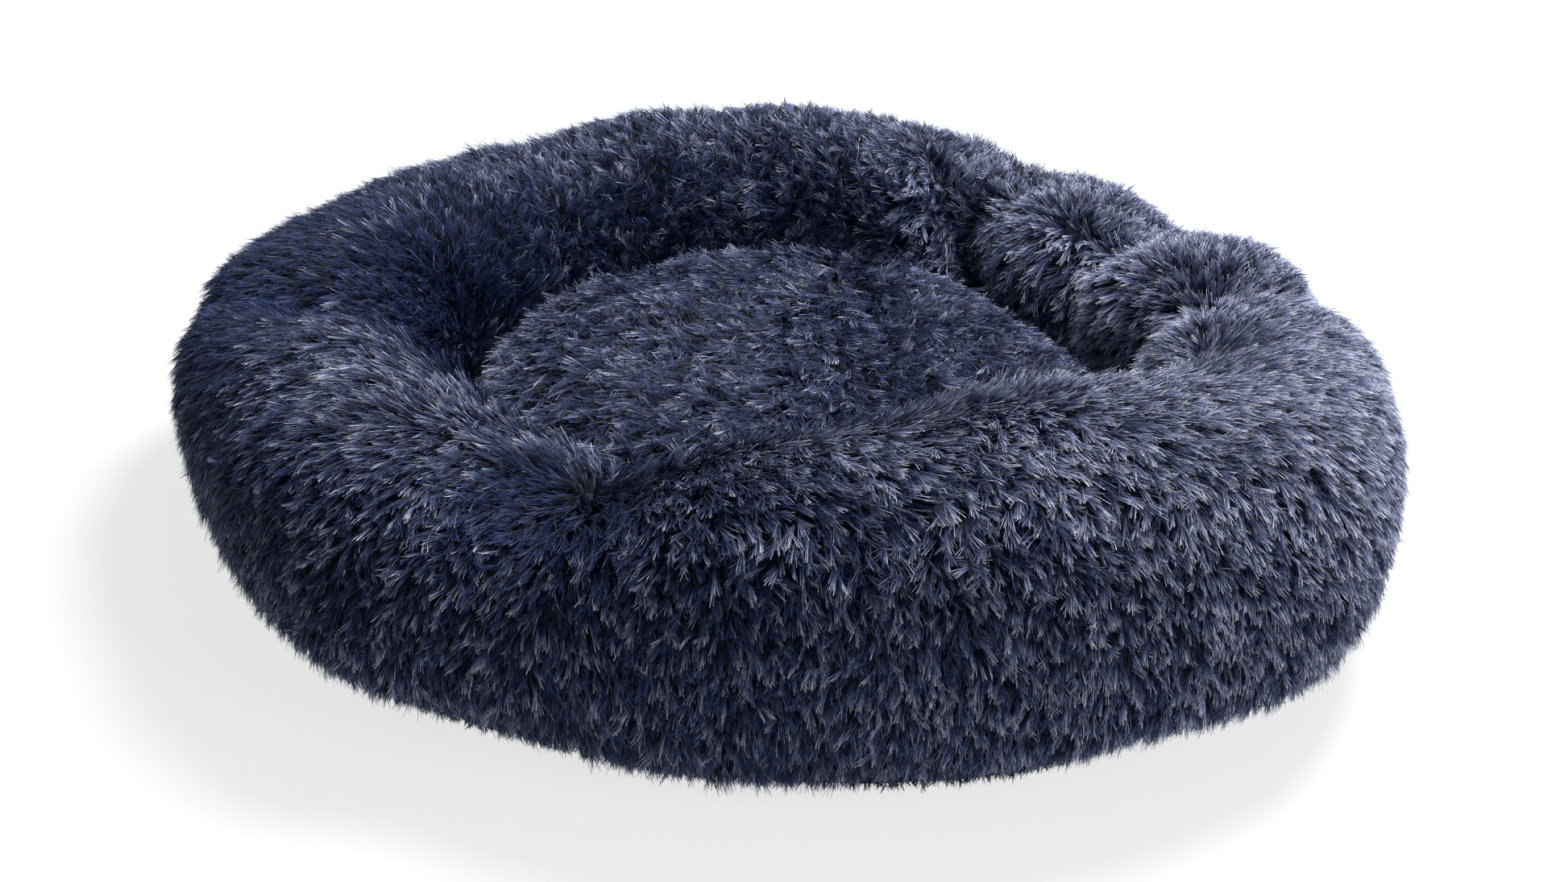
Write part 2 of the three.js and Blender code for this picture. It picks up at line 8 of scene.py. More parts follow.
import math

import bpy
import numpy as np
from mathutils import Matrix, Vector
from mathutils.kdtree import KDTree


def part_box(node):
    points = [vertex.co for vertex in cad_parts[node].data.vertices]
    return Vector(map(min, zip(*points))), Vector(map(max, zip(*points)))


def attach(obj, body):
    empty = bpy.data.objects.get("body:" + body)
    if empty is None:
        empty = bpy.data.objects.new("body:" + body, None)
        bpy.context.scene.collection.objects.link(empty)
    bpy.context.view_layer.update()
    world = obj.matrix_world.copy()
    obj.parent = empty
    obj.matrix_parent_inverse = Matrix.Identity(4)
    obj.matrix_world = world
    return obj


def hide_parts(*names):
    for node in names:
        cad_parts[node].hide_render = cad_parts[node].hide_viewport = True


bl_info = {
    "name": "Round Shag Dog Bed",
    "version": (1, 0, 0),
    "blender": (4, 5, 0),
    "location": "3D View > Sidebar > Dog Bed",
    "description": "Dresses a round dog bed: covers, pile, inserts, seams, base and zip",
    "category": "Add Mesh",
}

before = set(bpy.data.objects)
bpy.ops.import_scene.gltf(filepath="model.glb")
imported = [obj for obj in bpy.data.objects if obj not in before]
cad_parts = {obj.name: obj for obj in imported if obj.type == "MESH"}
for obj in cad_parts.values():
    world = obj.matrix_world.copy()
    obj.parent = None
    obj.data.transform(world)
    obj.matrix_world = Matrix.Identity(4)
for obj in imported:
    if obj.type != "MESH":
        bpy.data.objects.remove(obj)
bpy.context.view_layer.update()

MM = 0.001

# The diagonal of a circle's box, in radii of the circle
BOX_DIAGONAL = math.sqrt(8)

# The bed's middle is the pad's highest point, and the rim's core is a level ring inside its stuffing
pad_places = [vertex.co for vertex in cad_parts["pad_cover"].data.vertices]
pad_apex = max(pad_places, key=lambda place: place.z)
centre = np.array((pad_apex.x, pad_apex.y, 0.0))
rim_low, rim_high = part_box("rim_cover")
pad_low, pad_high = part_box("pad_cover")
pad_radius = (pad_high - pad_low).xy.length / BOX_DIAGONAL
core_radius = ((rim_high - rim_low).xy.length / BOX_DIAGONAL + pad_radius) / 2
core_height = (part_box("rim_liner_upper")[0].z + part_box("rim_liner_lower")[1].z) / 2

CREST_SECTION = 90

# One degree of section is about this share of one degree of clock, as lengths on the rim
SECTION_SHARE = 0.29

# Sections over which the crest takes over from the outer wall and the inner wall from it, for the stuffing
# and for the pile, and over which the sculpting of the stuffing sets in and dies out
SHAPE_WALLS = ((30, 80), (100, 150))
COMB_WALLS = ((32, 78), (104, 148))
SCULPTED_SECTIONS = ((-60, 0), (185, 235))

# Folds across the rim, sharper than the solid's lobes: clock at the crest, slant and spread in degrees, and
# depth on the outer wall, the crest and the inner wall in millimetres
FOLDS = (
    (7, 5, 4.5, 3, 10, 28),
    (35, -3, 4.2, 2, 16, 34),
    (65, -6, 5.5, 0, 1, 30),
    (105, 5, 4.0, 2, 5, 6),
    (140, -4, 4.0, 2, 5, 8),
    (186, 8, 4.5, 12, 26, 20),
    (245, 3, 4.0, 9, 5, 0),
    (294, -3, 3.0, 9, 3, 2),
)

# Bulges and dimples of the rim's stuffing: clock, section, spread and rise in millimetres
RIM_LUMPS = (
    (48, 148, 52, 20),
    (20, 150, 48, 22),
    (352, 140, 50, 12),
    (82, 130, 70, 6),
    (120, 140, 60, -6),
    (300, 70, 90, 5),
    (243, 79, 26, -3),
    (227, 78, 24, -4),
    (299, 90, 26, -3),
    (10, 122, 24, -4),
    (44, 135, 24, -3),
    (268, 55, 60, 5),
    (215, 40, 70, 4),
    (204, 90, 60, 12),
    (308, -15, 125, 38),
    (182, 25, 90, 12),
    (232, -15, 130, 32),
    (8, 45, 110, 18),
    (60, 65, 60, 10),
)

# The same of the pad's: place from the bed's middle, spread and rise in millimetres
PAD_LUMPS = (
    (60, 35, 30, -7),
    (-70, 60, 60, 5),
    (30, 120, 70, 4),
    (130, -20, 60, 4),
    (-120, -40, 50, -5),
)

# The stuffing's own small unevenness: pitch, and rise in millimetres
RIM_RIPPLE_PITCH = 110 * MM
RIM_RIPPLE_MM = 3.5
PAD_RIPPLE_PITCH = 170 * MM
PAD_RIPPLE_MM = 4.0

# A rim insert keeps clear of its cover by this share of the way to its core
INSERT_EASE = 0.05

# Whorls, which the pile leans away from: clock, section, spread in millimetres and strength, and the lean of
# one of strength one
WHORL_PEAK = 2.3
WHORLS = (
    (44, 134, 60, 0.5),
    (10, 121, 75, 0.8),
    (345, 118, 55, 0.8),
    (300, 91, 70, 0.7),
    (245, 88, 55, 1.0),
    (227, 78, 45, 0.8),
    (165, 118, 60, 0.8),
    (72, 100, 40, 0.8),
)

# Where the pile is tousled: clock, its spread, section, its spread and amount
TOUSLES = (
    (95, 40, 140, 50, 1.0),
    (284, 30, 60, 14, 0.6),
    (150, 25, 150, 25, 0.5),
)

# Where more or less of the frosting shows: the same. The patches are partly real frosting and partly painted
# light and shade: they lighten the crest and the right wall, where the light falls, and darken the creases
# and the walls that lie in shade
FROST_AND_LIGHT_PATCHES = (
    (12, 40, 98, 58, 1.8),
    (44, 14, 140, 40, -0.32),
    (325, 36, 102, 30, 1.9),
    (330, 45, 25, 45, 0.5),
    (290, 22, 104, 14, 0.7),
    (266, 16, 96, 26, -0.16),
    (275, 45, 25, 45, -0.08),
    (246, 7, 84, 28, -0.4),
    (218, 24, 95, 35, 0.16),
    (95, 60, 160, 40, -0.02),
    (170, 45, 145, 45, -0.24),
    (180, 40, 50, 60, -0.24),
    (90, 70, 100, 18, 0.08),
)

# Which way the pile of the crest and the inner wall is combed, at every 30 degrees of clock: 0 is along the
# rim, anticlockwise, and 90 outwards
CREST_COMB_DEGREES = (45, 45, 50, 80, 90, 95, 95, 105, 125, 45, 30, 50)
INNER_COMB_DEGREES = (-60, -50, -20, 90, 80, 100, 60, 90, 110, 70, 60, -20)

# Swirls that turn the pile from its comb: pitch, and turn in radians
RIM_SWIRLS = ((75 * MM, 1.1), (30 * MM, 0.5))
PAD_SWIRLS = ((120 * MM, 1.5), (40 * MM, 1.2))

# How the frosting varies from place to place: pitch and amount
DAPPLES = ((55 * MM, 0.45), (24 * MM, 0.45))

# The rim's pile: how tousled and frosted it is between the patches and how firmly it lies at least, then by
# how much the outer wall's is more tousled, less firm and shorter, and over which sections
RIM_TOUSLE = 0.3
RIM_TONE = 0.22
LEAST_FIRM = 0.5
OUTER_TOUSLE = 0.2
OUTER_SLACK = 0.25
OUTER_CROP = 0.28
OUTER_CROP_SECTIONS = (-45, 5)

# The pad's pile is combed to a bearing in degrees on the left, and by the turn further on the right. Its
# edge, over shares of the radius, is combed out, calmer, less firm and more frosted
PAD_BEARING = 190
PAD_TURN = 170
PAD_TURN_SHARES = (-0.25, 0.55)
PAD_EDGE_SHARES = (0.72, 0.95)
PAD_TONE = 0.13
EDGE_TONE = 0.31
EDGE_CALM = 0.5
EDGE_SLACK = 0.6

# The skirt band's pile, and how far outwards, from -1 to 1, a face of the band looks to have any
BAND_TOUSLE = 0.5
BAND_TONE = 0.12
BAND_FACING = 0.5

# Where a cover faces down at its hem, the pile is cropped to this share and the backing comes up to the top
# of the pile. That is so below the first facing, from -1, down, to 1, up, and not at all above the second
HEM_SHARE = 0.55
HEM_FACINGS = (-0.97, -0.2)

# Seeds of the smooth noise and of the random draws
SEEDS = {
    "rim ripple": 3, "pad ripple": 8, "rim swirl": 5, "pad swirl": 31, "dapple": 60,
    "rim pile": 9, "pad pile": 41, "band pile": 77,
}

# The long shag, the undercoat that fills the gaps between its tufts, and the skirt band's pile
PILE_KINDS = {
    "long": {"spacing": 4.1 * MM, "tuft_radius": 1.5 * MM, "strands": 8, "lock_tufts": 6,
             "length": 27 * MM, "width": 0.55 * MM},
    "under": {"spacing": 4.2 * MM, "tuft_radius": 1 * MM, "strands": 1, "lock_tufts": 4,
              "length": 18 * MM, "width": 2.4 * MM},
    "band": {"spacing": 2.4 * MM, "tuft_radius": 0.8 * MM, "strands": 3, "lock_tufts": 5,
             "length": 9 * MM, "width": 0.6 * MM},
}

# sRGB colours along a strand, from its root to its tip, where it is plain navy and where it is frosted. The
# near-black towards the root is partly the real dark dye and partly painted shade for the depths of the pile
NAVY_STOPS = ((0, "010206"), (0.5, "040919"), (0.8, "0a1838"), (1, "22396f"))
FROST_STOPS = ((0, "03050c"), (0.5, "141b38"), (0.8, "7a82aa"), (1, "eeeff6"))

# The materials' patterns: pitch, and depth of the bumps. The shag's crimp, the knit and the oxford's weave
# are drawn coarser than the real ones, which are too fine to show
PATTERNS = {
    "crimp": (1.1 * MM, 0.05 * MM),
    "knit": (1.2 * MM, 0.2 * MM),
    "bonds": (2 * MM, 0.1 * MM),
    "wisps": (17 * MM, 1 * MM),
    "weave": (0.9 * MM, 0.15 * MM),
    "scuffs": (70 * MM, 0),
    "twill": (0.8 * MM, 0.15 * MM),
    "twist": (0.5 * MM, 0.05 * MM),
    "grain": (1.1 * MM, 0.02 * MM),
    "wear": (5.5 * MM, 0.01 * MM),
    "paper": (25 * MM, 0),
}

# The camera: how it stands to the bed, and the photograph's width and focal length in pixels
VIEW_ELEVATION = math.radians(26.88)
VIEW_ROLL = math.radians(2.08)
VIEW_DISTANCE = 1.539
VIEW_AIM = (-0.0107, -0.0976, 0.096)
PHOTO_WIDTH_PX = 1946
FOCAL_LENGTH_PX = 2615

SENSOR_WIDTH_MM = 36

# Lamps: name, place from the bed's middle and diameter
LAMPS = (
    ("key", (0.8, 0.8, 2.0), 1.1),
    ("fill", (1.8, -1.5, 1.3), 1.4),
)

# The floor, and how much of it the camera sees as pure white, so that its shadows are light
FLOOR_RADIUS = 3
FLOOR_SIDES = 96
FLOOR_WHITE = 0.75


class PileKind(bpy.types.PropertyGroup):
    """One kind of pile, as tufts of strands that lie together in locks"""
    spacing: bpy.props.FloatProperty(
        name="Spacing", description="Mean distance between tufts", default=4 * MM, unit="LENGTH")
    tuft_radius: bpy.props.FloatProperty(
        name="Tuft radius", description="Radius of a tuft at its root", default=1.5 * MM, unit="LENGTH")
    strands: bpy.props.IntProperty(name="Strands", description="Strands in a tuft", default=8, min=1)
    lock_tufts: bpy.props.IntProperty(
        name="Tufts in a lock", description="Tufts that lie one way", default=6, min=1)
    length: bpy.props.FloatProperty(
        name="Length", description="Mean length of a strand", default=27 * MM, unit="LENGTH")
    width: bpy.props.FloatProperty(
        name="Width", description="Width of a strand, which stands for a few fibres",
        default=0.6 * MM, unit="LENGTH")


class BedSettings(bpy.types.PropertyGroup):
    """Sizes of the covers and the seams, and the strength of the light"""
    piles: bpy.props.CollectionProperty(type=PileKind)
    cloth_depth: bpy.props.FloatProperty(
        name="Cloth depth", description="How far the knitted backing lies under the top of the pile",
        default=14 * MM, unit="LENGTH")
    cloth_thickness: bpy.props.FloatProperty(
        name="Cloth thickness", description="Thickness of the knitted backing",
        default=1.6 * MM, unit="LENGTH")
    puff_pressure: bpy.props.FloatProperty(
        name="Puff pressure", description="Pressure that swells the covers over their stuffing", default=4)
    most_puff: bpy.props.FloatProperty(
        name="Most puff", description="The furthest that a point of a cover may swell",
        default=6 * MM, unit="LENGTH")
    stitch_length: bpy.props.FloatProperty(
        name="Stitch length", description="Length of thread that shows", default=3.2 * MM, unit="LENGTH")
    stitch_pitch: bpy.props.FloatProperty(
        name="Stitch pitch", description="Distance from stitch to stitch", default=4.4 * MM, unit="LENGTH")
    thread_radius: bpy.props.FloatProperty(
        name="Thread radius", description="Radius of the sewing thread", default=0.35 * MM, unit="LENGTH")
    easing: bpy.props.FloatProperty(
        name="Easing", description="Rounding of moulded and cast edges", default=0.12 * MM, unit="LENGTH")
    key_watts: bpy.props.FloatProperty(
        name="Key", description="Power of the key lamp", default=120, unit="POWER")
    fill_watts: bpy.props.FloatProperty(
        name="Fill", description="Power of the fill lamp", default=22, unit="POWER")
    sky: bpy.props.FloatProperty(
        name="Sky", description="Strength of the studio's even light", default=0.26)


# Vectors and fields

# Shorter than any vector that has a direction
TINY = 1e-12

# Smooth noise: its waves in an octave, its octaves, and how much its waves differ in pitch
RIPPLE_WAVES = 6
RIPPLE_OCTAVES = (1, 2)
RIPPLE_PITCH_SHARES = (0.6, 1.4)


def unit(vectors):
    return vectors / np.maximum(np.linalg.norm(vectors, axis=1, keepdims=True), TINY)


def flattened(vectors, normals):
    return vectors - normals * (vectors * normals).sum(1, keepdims=True)


def turned(vectors, normals, angle):
    return vectors * np.cos(angle)[:, None] + np.cross(normals, vectors) * np.sin(angle)[:, None]


def smooth_step(value, low, high):
    share = np.clip((value - low) / (high - low), 0, 1)
    return share * share * (3 - 2 * share)


def clock_gap(clock, at):
    """Degrees from one clock angle to another, from -180 to 180."""
    return (clock - at + 180) % 360 - 180


def ripple(points, pitch, seed):
    """Smooth noise from -1 to 1, as a sum of waves in seeded directions."""
    random = np.random.default_rng(seed)
    total = np.zeros(len(points))
    for octave in RIPPLE_OCTAVES:
        for _ in range(RIPPLE_WAVES):
            wave = unit(random.normal(size=(1, 3)))[0] * math.tau / pitch * octave
            wave *= random.uniform(*RIPPLE_PITCH_SHARES)
            total += np.sin(points @ wave + random.uniform(0, math.tau)) / octave
    return np.clip(total / RIPPLE_WAVES, -1, 1)


def swirl(points, swirls, seed):
    """How far the swirls turn the pile, in radians."""
    return sum(turn * ripple(points, pitch, seed + index) for index, (pitch, turn) in enumerate(swirls))


def around_rim(points):
    """Clock and section angles of points, and unit vectors out from the middle, along the rim, away from
    its core and round the core, up the outer wall."""
    flat = (points - centre) * (1, 1, 0)
    radius = np.linalg.norm(flat, axis=1)
    clock = np.degrees(np.arctan2(flat[:, 1], flat[:, 0])) % 360
    section = np.degrees(np.arctan2(points[:, 2] - core_height, radius - core_radius))
    section = np.where(section < -90, section + 360, section)
    out = unit(flat)
    up = np.array((0.0, 0.0, 1.0))
    along = np.cross(up, out)
    angle = np.radians(section)[:, None]
    away = out * np.cos(angle) + up * np.sin(angle)
    climb = up * np.cos(angle) - out * np.sin(angle)
    return clock, section, out, along, away, climb


def rim_core(points):
    return centre + around_rim(points)[2] * core_radius + (0, 0, core_height)


def pad_core(points):
    return centre + points * 0 + (0, 0, pad_low.z)


def wall_shares(section, outer_ends, inner_ends):
    """How much places belong to the outer wall and to the inner wall. The rest of each is the crest's."""
    return 1 - smooth_step(section, *outer_ends), smooth_step(section, *inner_ends)


def patches(clock, section, table):
    """The sum of soft patches on the rim: clock, its spread, section, its spread and amount."""
    total = np.zeros(len(clock))
    for at, wide, level, high, amount in table:
        total += amount * np.exp(-(clock_gap(clock, at) / wide) ** 2 - ((section - level) / high) ** 2)
    return total


# Shapes of the stuffing

def sculpt_rim(points):
    """Points of any layer of the rim, moved to and from the core by its folds and lumps."""
    clock, section, _, _, away, _ = around_rim(points)
    outer, inner = wall_shares(section, *SHAPE_WALLS)
    rise = RIM_RIPPLE_MM * ripple(points, RIM_RIPPLE_PITCH, SEEDS["rim ripple"])
    for at, slant, spread, outer_depth, crest_depth, inner_depth in FOLDS:
        depth = outer * outer_depth + (1 - outer - inner) * crest_depth + inner * inner_depth
        path = at + slant * (section - CREST_SECTION) / CREST_SECTION
        rise -= depth * np.exp(-(clock_gap(clock, path) / spread) ** 2)
    degree = math.radians(core_radius) / MM
    lumps = [(at, wide / degree, level, wide / degree / SECTION_SHARE, height)
             for at, level, wide, height in RIM_LUMPS]
    rise += patches(clock, section, lumps)
    sets_in, dies_out = SCULPTED_SECTIONS
    upper = smooth_step(section, *sets_in) * (1 - smooth_step(section, *dies_out))
    return points + away * (rise * upper * MM)[:, None]


def sculpt_rim_insert(points):
    """The same for the layers of the rim's insert, which keeps a little clear of its cover."""
    moved = sculpt_rim(points)
    return moved + (rim_core(moved) - moved) * INSERT_EASE


def sculpt_pad(points):
    """Points of any layer of the pad, raised and lowered by its soft lumps."""
    low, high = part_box("pad_liner_upper")
    upper = smooth_step(points[:, 2], low.z, high.z)
    lift = PAD_RIPPLE_MM * ripple(points * (1, 1, 0), PAD_RIPPLE_PITCH, SEEDS["pad ripple"])
    for x, y, spread, height in PAD_LUMPS:
        away = ((points[:, :2] - centre[:2]) / MM - (x, y)) / spread
        lift += height * np.exp(-(away ** 2).sum(1))
    moved = points.copy()
    moved[:, 2] += lift * upper * MM
    return moved


# Meshes

# Corners closer than this are one, triangles within the pair angle join into a quad, faces within the flat
# angle are one, and an edge past the sharp angle is eased
MERGE_DISTANCE = 0.02 * MM
PAIR_ANGLE = 1.2
FLAT_ANGLE = math.radians(0.5)
SHARP_ANGLE = math.radians(35)
EDGE_SEGMENTS = 2

# How many frames a cover swells for, and the height of its sewn edge
PUFF_FRAMES = 12
SEWN_HEIGHT = 6 * MM


def make_active(piece):
    bpy.ops.object.select_all(action="DESELECT")
    piece.select_set(True)
    bpy.context.view_layer.objects.active = piece


def link_piece(name, data):
    piece = bpy.data.objects.new(name, data)
    bpy.context.collection.objects.link(piece)
    make_active(piece)
    return piece


def points_of(mesh):
    flat = np.zeros(len(mesh.vertices) * 3)
    mesh.vertices.foreach_get("co", flat)
    return flat.reshape(-1, 3)


def normals_of(mesh):
    flat = np.zeros(len(mesh.vertices) * 3)
    mesh.vertex_normals.foreach_get("vector", flat)
    return flat.reshape(-1, 3)


def move_points(piece, points):
    piece.data.vertices.foreach_set("co", points.ravel())
    piece.data.update()


def use_modifier(piece, kind, **settings):
    """Adds a modifier to a piece and applies it."""
    make_active(piece)
    modifier = piece.modifiers.new(kind.title(), kind)
    for name, value in settings.items():
        setattr(modifier, name, value)
    bpy.ops.object.modifier_apply(modifier=modifier.name)


def soften(piece, levels, subdivision="CATMULL_CLARK"):
    use_modifier(piece, "SUBSURF", levels=levels, render_levels=levels, subdivision_type=subdivision)


def edit_mesh(operator, **settings):
    """Runs a mesh operator on the active piece in edit mode."""
    bpy.ops.object.mode_set(mode="EDIT")
    operator(**settings)
    bpy.ops.object.mode_set(mode="OBJECT")


def merged_copy(node, name):
    """A copy of a node's mesh, its corners merged, without materials."""
    piece = link_piece(name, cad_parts[node].data.copy())
    edit_mesh(bpy.ops.mesh.select_all, action="SELECT")
    edit_mesh(bpy.ops.mesh.remove_doubles, threshold=MERGE_DISTANCE)
    piece.data.materials.clear()
    return piece


def soft_copy(node, name):
    """A copy for subdividing, its triangles paired into quads."""
    piece = merged_copy(node, name)
    edit_mesh(bpy.ops.mesh.tris_convert_to_quads, face_threshold=PAIR_ANGLE, shape_threshold=PAIR_ANGLE)
    bpy.ops.object.shade_smooth()
    return piece


def sheet_copy(node, name, easing):
    """A copy of a cut sheet or tape, its flat faces joined and its edges eased."""
    piece = merged_copy(node, name)
    edit_mesh(bpy.ops.mesh.dissolve_limited, angle_limit=FLAT_ANGLE)
    use_modifier(
        piece, "BEVEL", width=easing, segments=EDGE_SEGMENTS, limit_method="ANGLE",
        angle_limit=SHARP_ANGLE)
    bpy.ops.object.shade_smooth_by_angle(angle=SHARP_ANGLE)
    return piece


def cover_skin(node, name, core):
    """The outer skin of a cover, without the faces that look towards the core."""
    piece = soft_copy(node, name)
    faces = piece.data.polygons
    middles = np.array([face.center for face in faces])
    facings = np.array([face.normal for face in faces])
    outwards = ((middles - core(middles)) * facings).sum(1) > 0
    edit_mesh(bpy.ops.mesh.select_all, action="DESELECT")
    piece.data.polygons.foreach_set("select", ~outwards)
    edit_mesh(bpy.ops.mesh.delete, type="FACE")
    edit_mesh(bpy.ops.mesh.select_all, action="SELECT")
    edit_mesh(bpy.ops.mesh.delete_loose)
    soften(piece, levels=2)
    return piece


def puff(piece, settings):
    """Swells a cover under pressure for a few frames of cloth, with its sewn edges held."""
    before = points_of(piece.data)
    held = piece.vertex_groups.new(name="sewn")
    low = before[:, 2] < before[:, 2].min() + SEWN_HEIGHT
    held.add(np.flatnonzero(low).tolist(), 1, "REPLACE")
    cloth = piece.modifiers.new("Cloth", "CLOTH")
    cloth.settings.use_pressure = True
    cloth.settings.uniform_pressure_force = settings.puff_pressure
    cloth.settings.effector_weights.gravity = 0
    cloth.settings.vertex_group_mass = held.name
    cloth.point_cache.frame_end = PUFF_FRAMES
    for frame_number in range(1, PUFF_FRAMES + 1):
        bpy.context.scene.frame_set(frame_number)
    make_active(piece)
    bpy.ops.object.modifier_apply(modifier=cloth.name)
    bpy.context.scene.frame_set(1)
    moved = points_of(piece.data) - before
    far = np.linalg.norm(moved, axis=1, keepdims=True)
    move_points(piece, before + moved * np.minimum(1, settings.most_puff / np.maximum(far, MM)))
    piece.vertex_groups.clear()


def finish_piece(piece, material, slot, *nodes, body="bed"):
    """Gives a piece its material and body, and hides the nodes it stands for. The slot is not used."""
    piece.data.materials.append(material)
    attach(piece, body)
    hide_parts(*nodes)


def dress_node(node, material, easing):
    """Gives a hard node of the model its material and eased edges."""
    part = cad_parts[node]
    part.data.materials.clear()
    part.data.materials.append(material)
    weld = part.modifiers.new("Merged corners", "WELD")
    weld.merge_threshold = MERGE_DISTANCE
    bevel = part.modifiers.new("Eased edges", "BEVEL")
    bevel.width = easing
    bevel.segments = EDGE_SEGMENTS
    bevel.limit_method = "ANGLE"
    bevel.angle_limit = SHARP_ANGLE


# Materials

def hex_colour(code):
    """An sRGB hex colour as linear red, green, blue and alpha."""
    channels = [int(code[start:start + 2], 16) / 255 for start in (0, 2, 4)]
    linear = [c / 12.92 if c <= 0.04045 else ((c + 0.055) / 1.055) ** 2.4 for c in channels]
    return (*linear, 1.0)


def add_node(tree, kind, inputs=(), stops=(), **settings):
    """Adds a shader node. Inputs pair a socket with a value or a node's output, and stops fill a ramp."""
    node = tree.nodes.new(kind)
    for name, value in settings.items():
        setattr(node, name, value)
    for socket, value in inputs:
        if isinstance(value, bpy.types.NodeSocket):
            tree.links.new(value, node.inputs[socket])
        else:
            node.inputs[socket].default_value = value
    for _ in range(len(stops) - 2):
        node.color_ramp.elements.new(0.5)
    for index, (position, colour) in enumerate(stops):
        node.color_ramp.elements[index].position = position
        node.color_ramp.elements[index].color = hex_colour(colour)
    return node


def new_material(name, roughness, specular, metallic=0.0):
    """A material, its node tree and its Principled shader."""
    material = bpy.data.materials.new(name)
    material.use_nodes = True
    shader = material.node_tree.nodes["Principled BSDF"]
    shader.inputs["Roughness"].default_value = roughness
    shader.inputs["Specular IOR Level"].default_value = specular
    shader.inputs["Metallic"].default_value = metallic
    return material, material.node_tree, shader


# The roughness of a pattern's highest points, as a share of its lowest
RUBBED_SHARE = 0.85


def paint(tree, shader, pattern, stops, depth):
    """Colours a shader through a ramp from a pattern, raises its bumps by depth and rubs them smoother."""
    colour = add_node(tree, "ShaderNodeValToRGB", [(0, pattern)], stops)
    rough = shader.inputs["Roughness"].default_value
    rubbed = add_node(
        tree, "ShaderNodeMapRange", [(0, pattern), ("To Min", rough), ("To Max", rough * RUBBED_SHARE)])
    bump = add_node(tree, "ShaderNodeBump", [("Distance", depth), ("Height", pattern)])
    for socket, node in (("Base Color", colour), ("Roughness", rubbed), ("Normal", bump)):
        tree.links.new(node.outputs[0], shader.inputs[socket])
    return colour


def background_rays(tree):
    """1 for the rays that show the background: the camera's, and those by way of metal or glass."""
    path = add_node(tree, "ShaderNodeLightPath")
    rays = path.outputs["Is Camera Ray"]
    for kind in ("Is Glossy Ray", "Is Transmission Ray"):
        sides = [(0, rays), (1, path.outputs[kind])]
        rays = add_node(tree, "ShaderNodeMath", sides, operation="MAXIMUM").outputs[0]
    return rays


def object_place(tree):
    return add_node(tree, "ShaderNodeTexCoord").outputs["Object"]


# The length after which a wave texture of scale one repeats, then each texture's, with its height's output
WAVE_PERIOD = math.pi / 10
TEXTURES = {
    "ShaderNodeTexWave": (WAVE_PERIOD, 1), "ShaderNodeTexNoise": (1, 0), "ShaderNodeTexVoronoi": (1, 0),
}

# A colour mix: the inputs of its factor and its two colours, and its output
MIX_INPUTS = (0, 6, 7)
MIX_OUTPUT = 2

# The base is a grip dot below this height, and the twill's ribs slant this far from across the tape
DOT_TOP = 0.9 * MM
TWILL_SLANT = math.radians(63)


def patterned(name, shine, pattern, texture, stops, inputs=(), turn=0.0, **settings):
    """A material of one pattern, turned about Z. Shine is roughness, specular level and metallic share."""
    size, depth = PATTERNS[pattern]
    period, output = TEXTURES[texture]
    material, tree, shader = new_material(name, *shine)
    place = object_place(tree)
    if turn:
        place = add_node(tree, "ShaderNodeMapping", [(0, place), ("Rotation", (0, 0, turn))]).outputs[0]
    inputs = [(0, place), ("Scale", period / size), *inputs]
    node = add_node(tree, texture, inputs, **settings)
    paint(tree, shader, node.outputs[output], stops, depth)
    return material


def weave_of(tree, size):
    """The height of a plain weave whose threads lie a size apart along X and Y."""
    inputs = [(0, object_place(tree)), ("Scale", WAVE_PERIOD / size)]
    waves = [add_node(tree, "ShaderNodeTexWave", inputs, bands_direction=axis) for axis in ("X", "Y")]
    heights = [(side, wave.outputs[1]) for side, wave in enumerate(waves)]
    return add_node(tree, "ShaderNodeMath", heights, operation="MAXIMUM").outputs[0]


def tipped_shag():
    """Polyester faux fur, knitted, cropped and tip-dyed: dark roots, painted near-black as shade deep in the
    pile, navy tips and, here and there, frosted ones, all glossier than the roots. U on a strand's own map
    is how frosted it is, with painted light and shade in it, and V runs up from its root."""
    size, depth = PATTERNS["crimp"]
    material, tree, shader = new_material("tip-dyed polyester shag", 0.5, 0.12)
    strand_map = add_node(tree, "ShaderNodeUVMap", uv_map="OFBake")
    frosted, level, _ = add_node(tree, "ShaderNodeSeparateXYZ", [(0, strand_map.outputs[0])]).outputs
    navy = add_node(tree, "ShaderNodeValToRGB", [(0, level)], NAVY_STOPS).outputs[0]
    frost = add_node(tree, "ShaderNodeValToRGB", [(0, level)], FROST_STOPS).outputs[0]
    colour = add_node(tree, "ShaderNodeMix", zip(MIX_INPUTS, (frosted, navy, frost)), data_type="RGBA")
    rough = add_node(tree, "ShaderNodeMapRange", [(0, level), ("To Min", 0.6), ("To Max", 0.45)])
    inputs = [(0, object_place(tree)), ("Scale", 1 / size), ("Detail", 1)]
    crimp = add_node(tree, "ShaderNodeTexNoise", inputs)
    bump = add_node(tree, "ShaderNodeBump", [("Distance", depth), ("Height", crimp.outputs[0])])
    tree.links.new(colour.outputs[MIX_OUTPUT], shader.inputs["Base Color"])
    tree.links.new(rough.outputs[0], shader.inputs["Roughness"])
    tree.links.new(bump.outputs[0], shader.inputs["Normal"])
    return material


def knitted_backing():
    """Warp-knitted polyester that holds the pile: dark and matt between the tufts, with fine rows."""
    size, depth = PATTERNS["knit"]
    material, tree, shader = new_material("warp-knitted backing", 0.95, 0.2)
    paint(tree, shader, weave_of(tree, size), ((0, "060914"), (1, "10162c")), depth)
    return material


def spunbond():
    """Spunbond polypropylene, fused at points: white and papery, with a grain of small dimples."""
    return patterned(
        "spunbond casing", (0.85, 0.3), "bonds", "ShaderNodeTexVoronoi", ((0, "dcdcd8"), (1, "f0f0ec")))


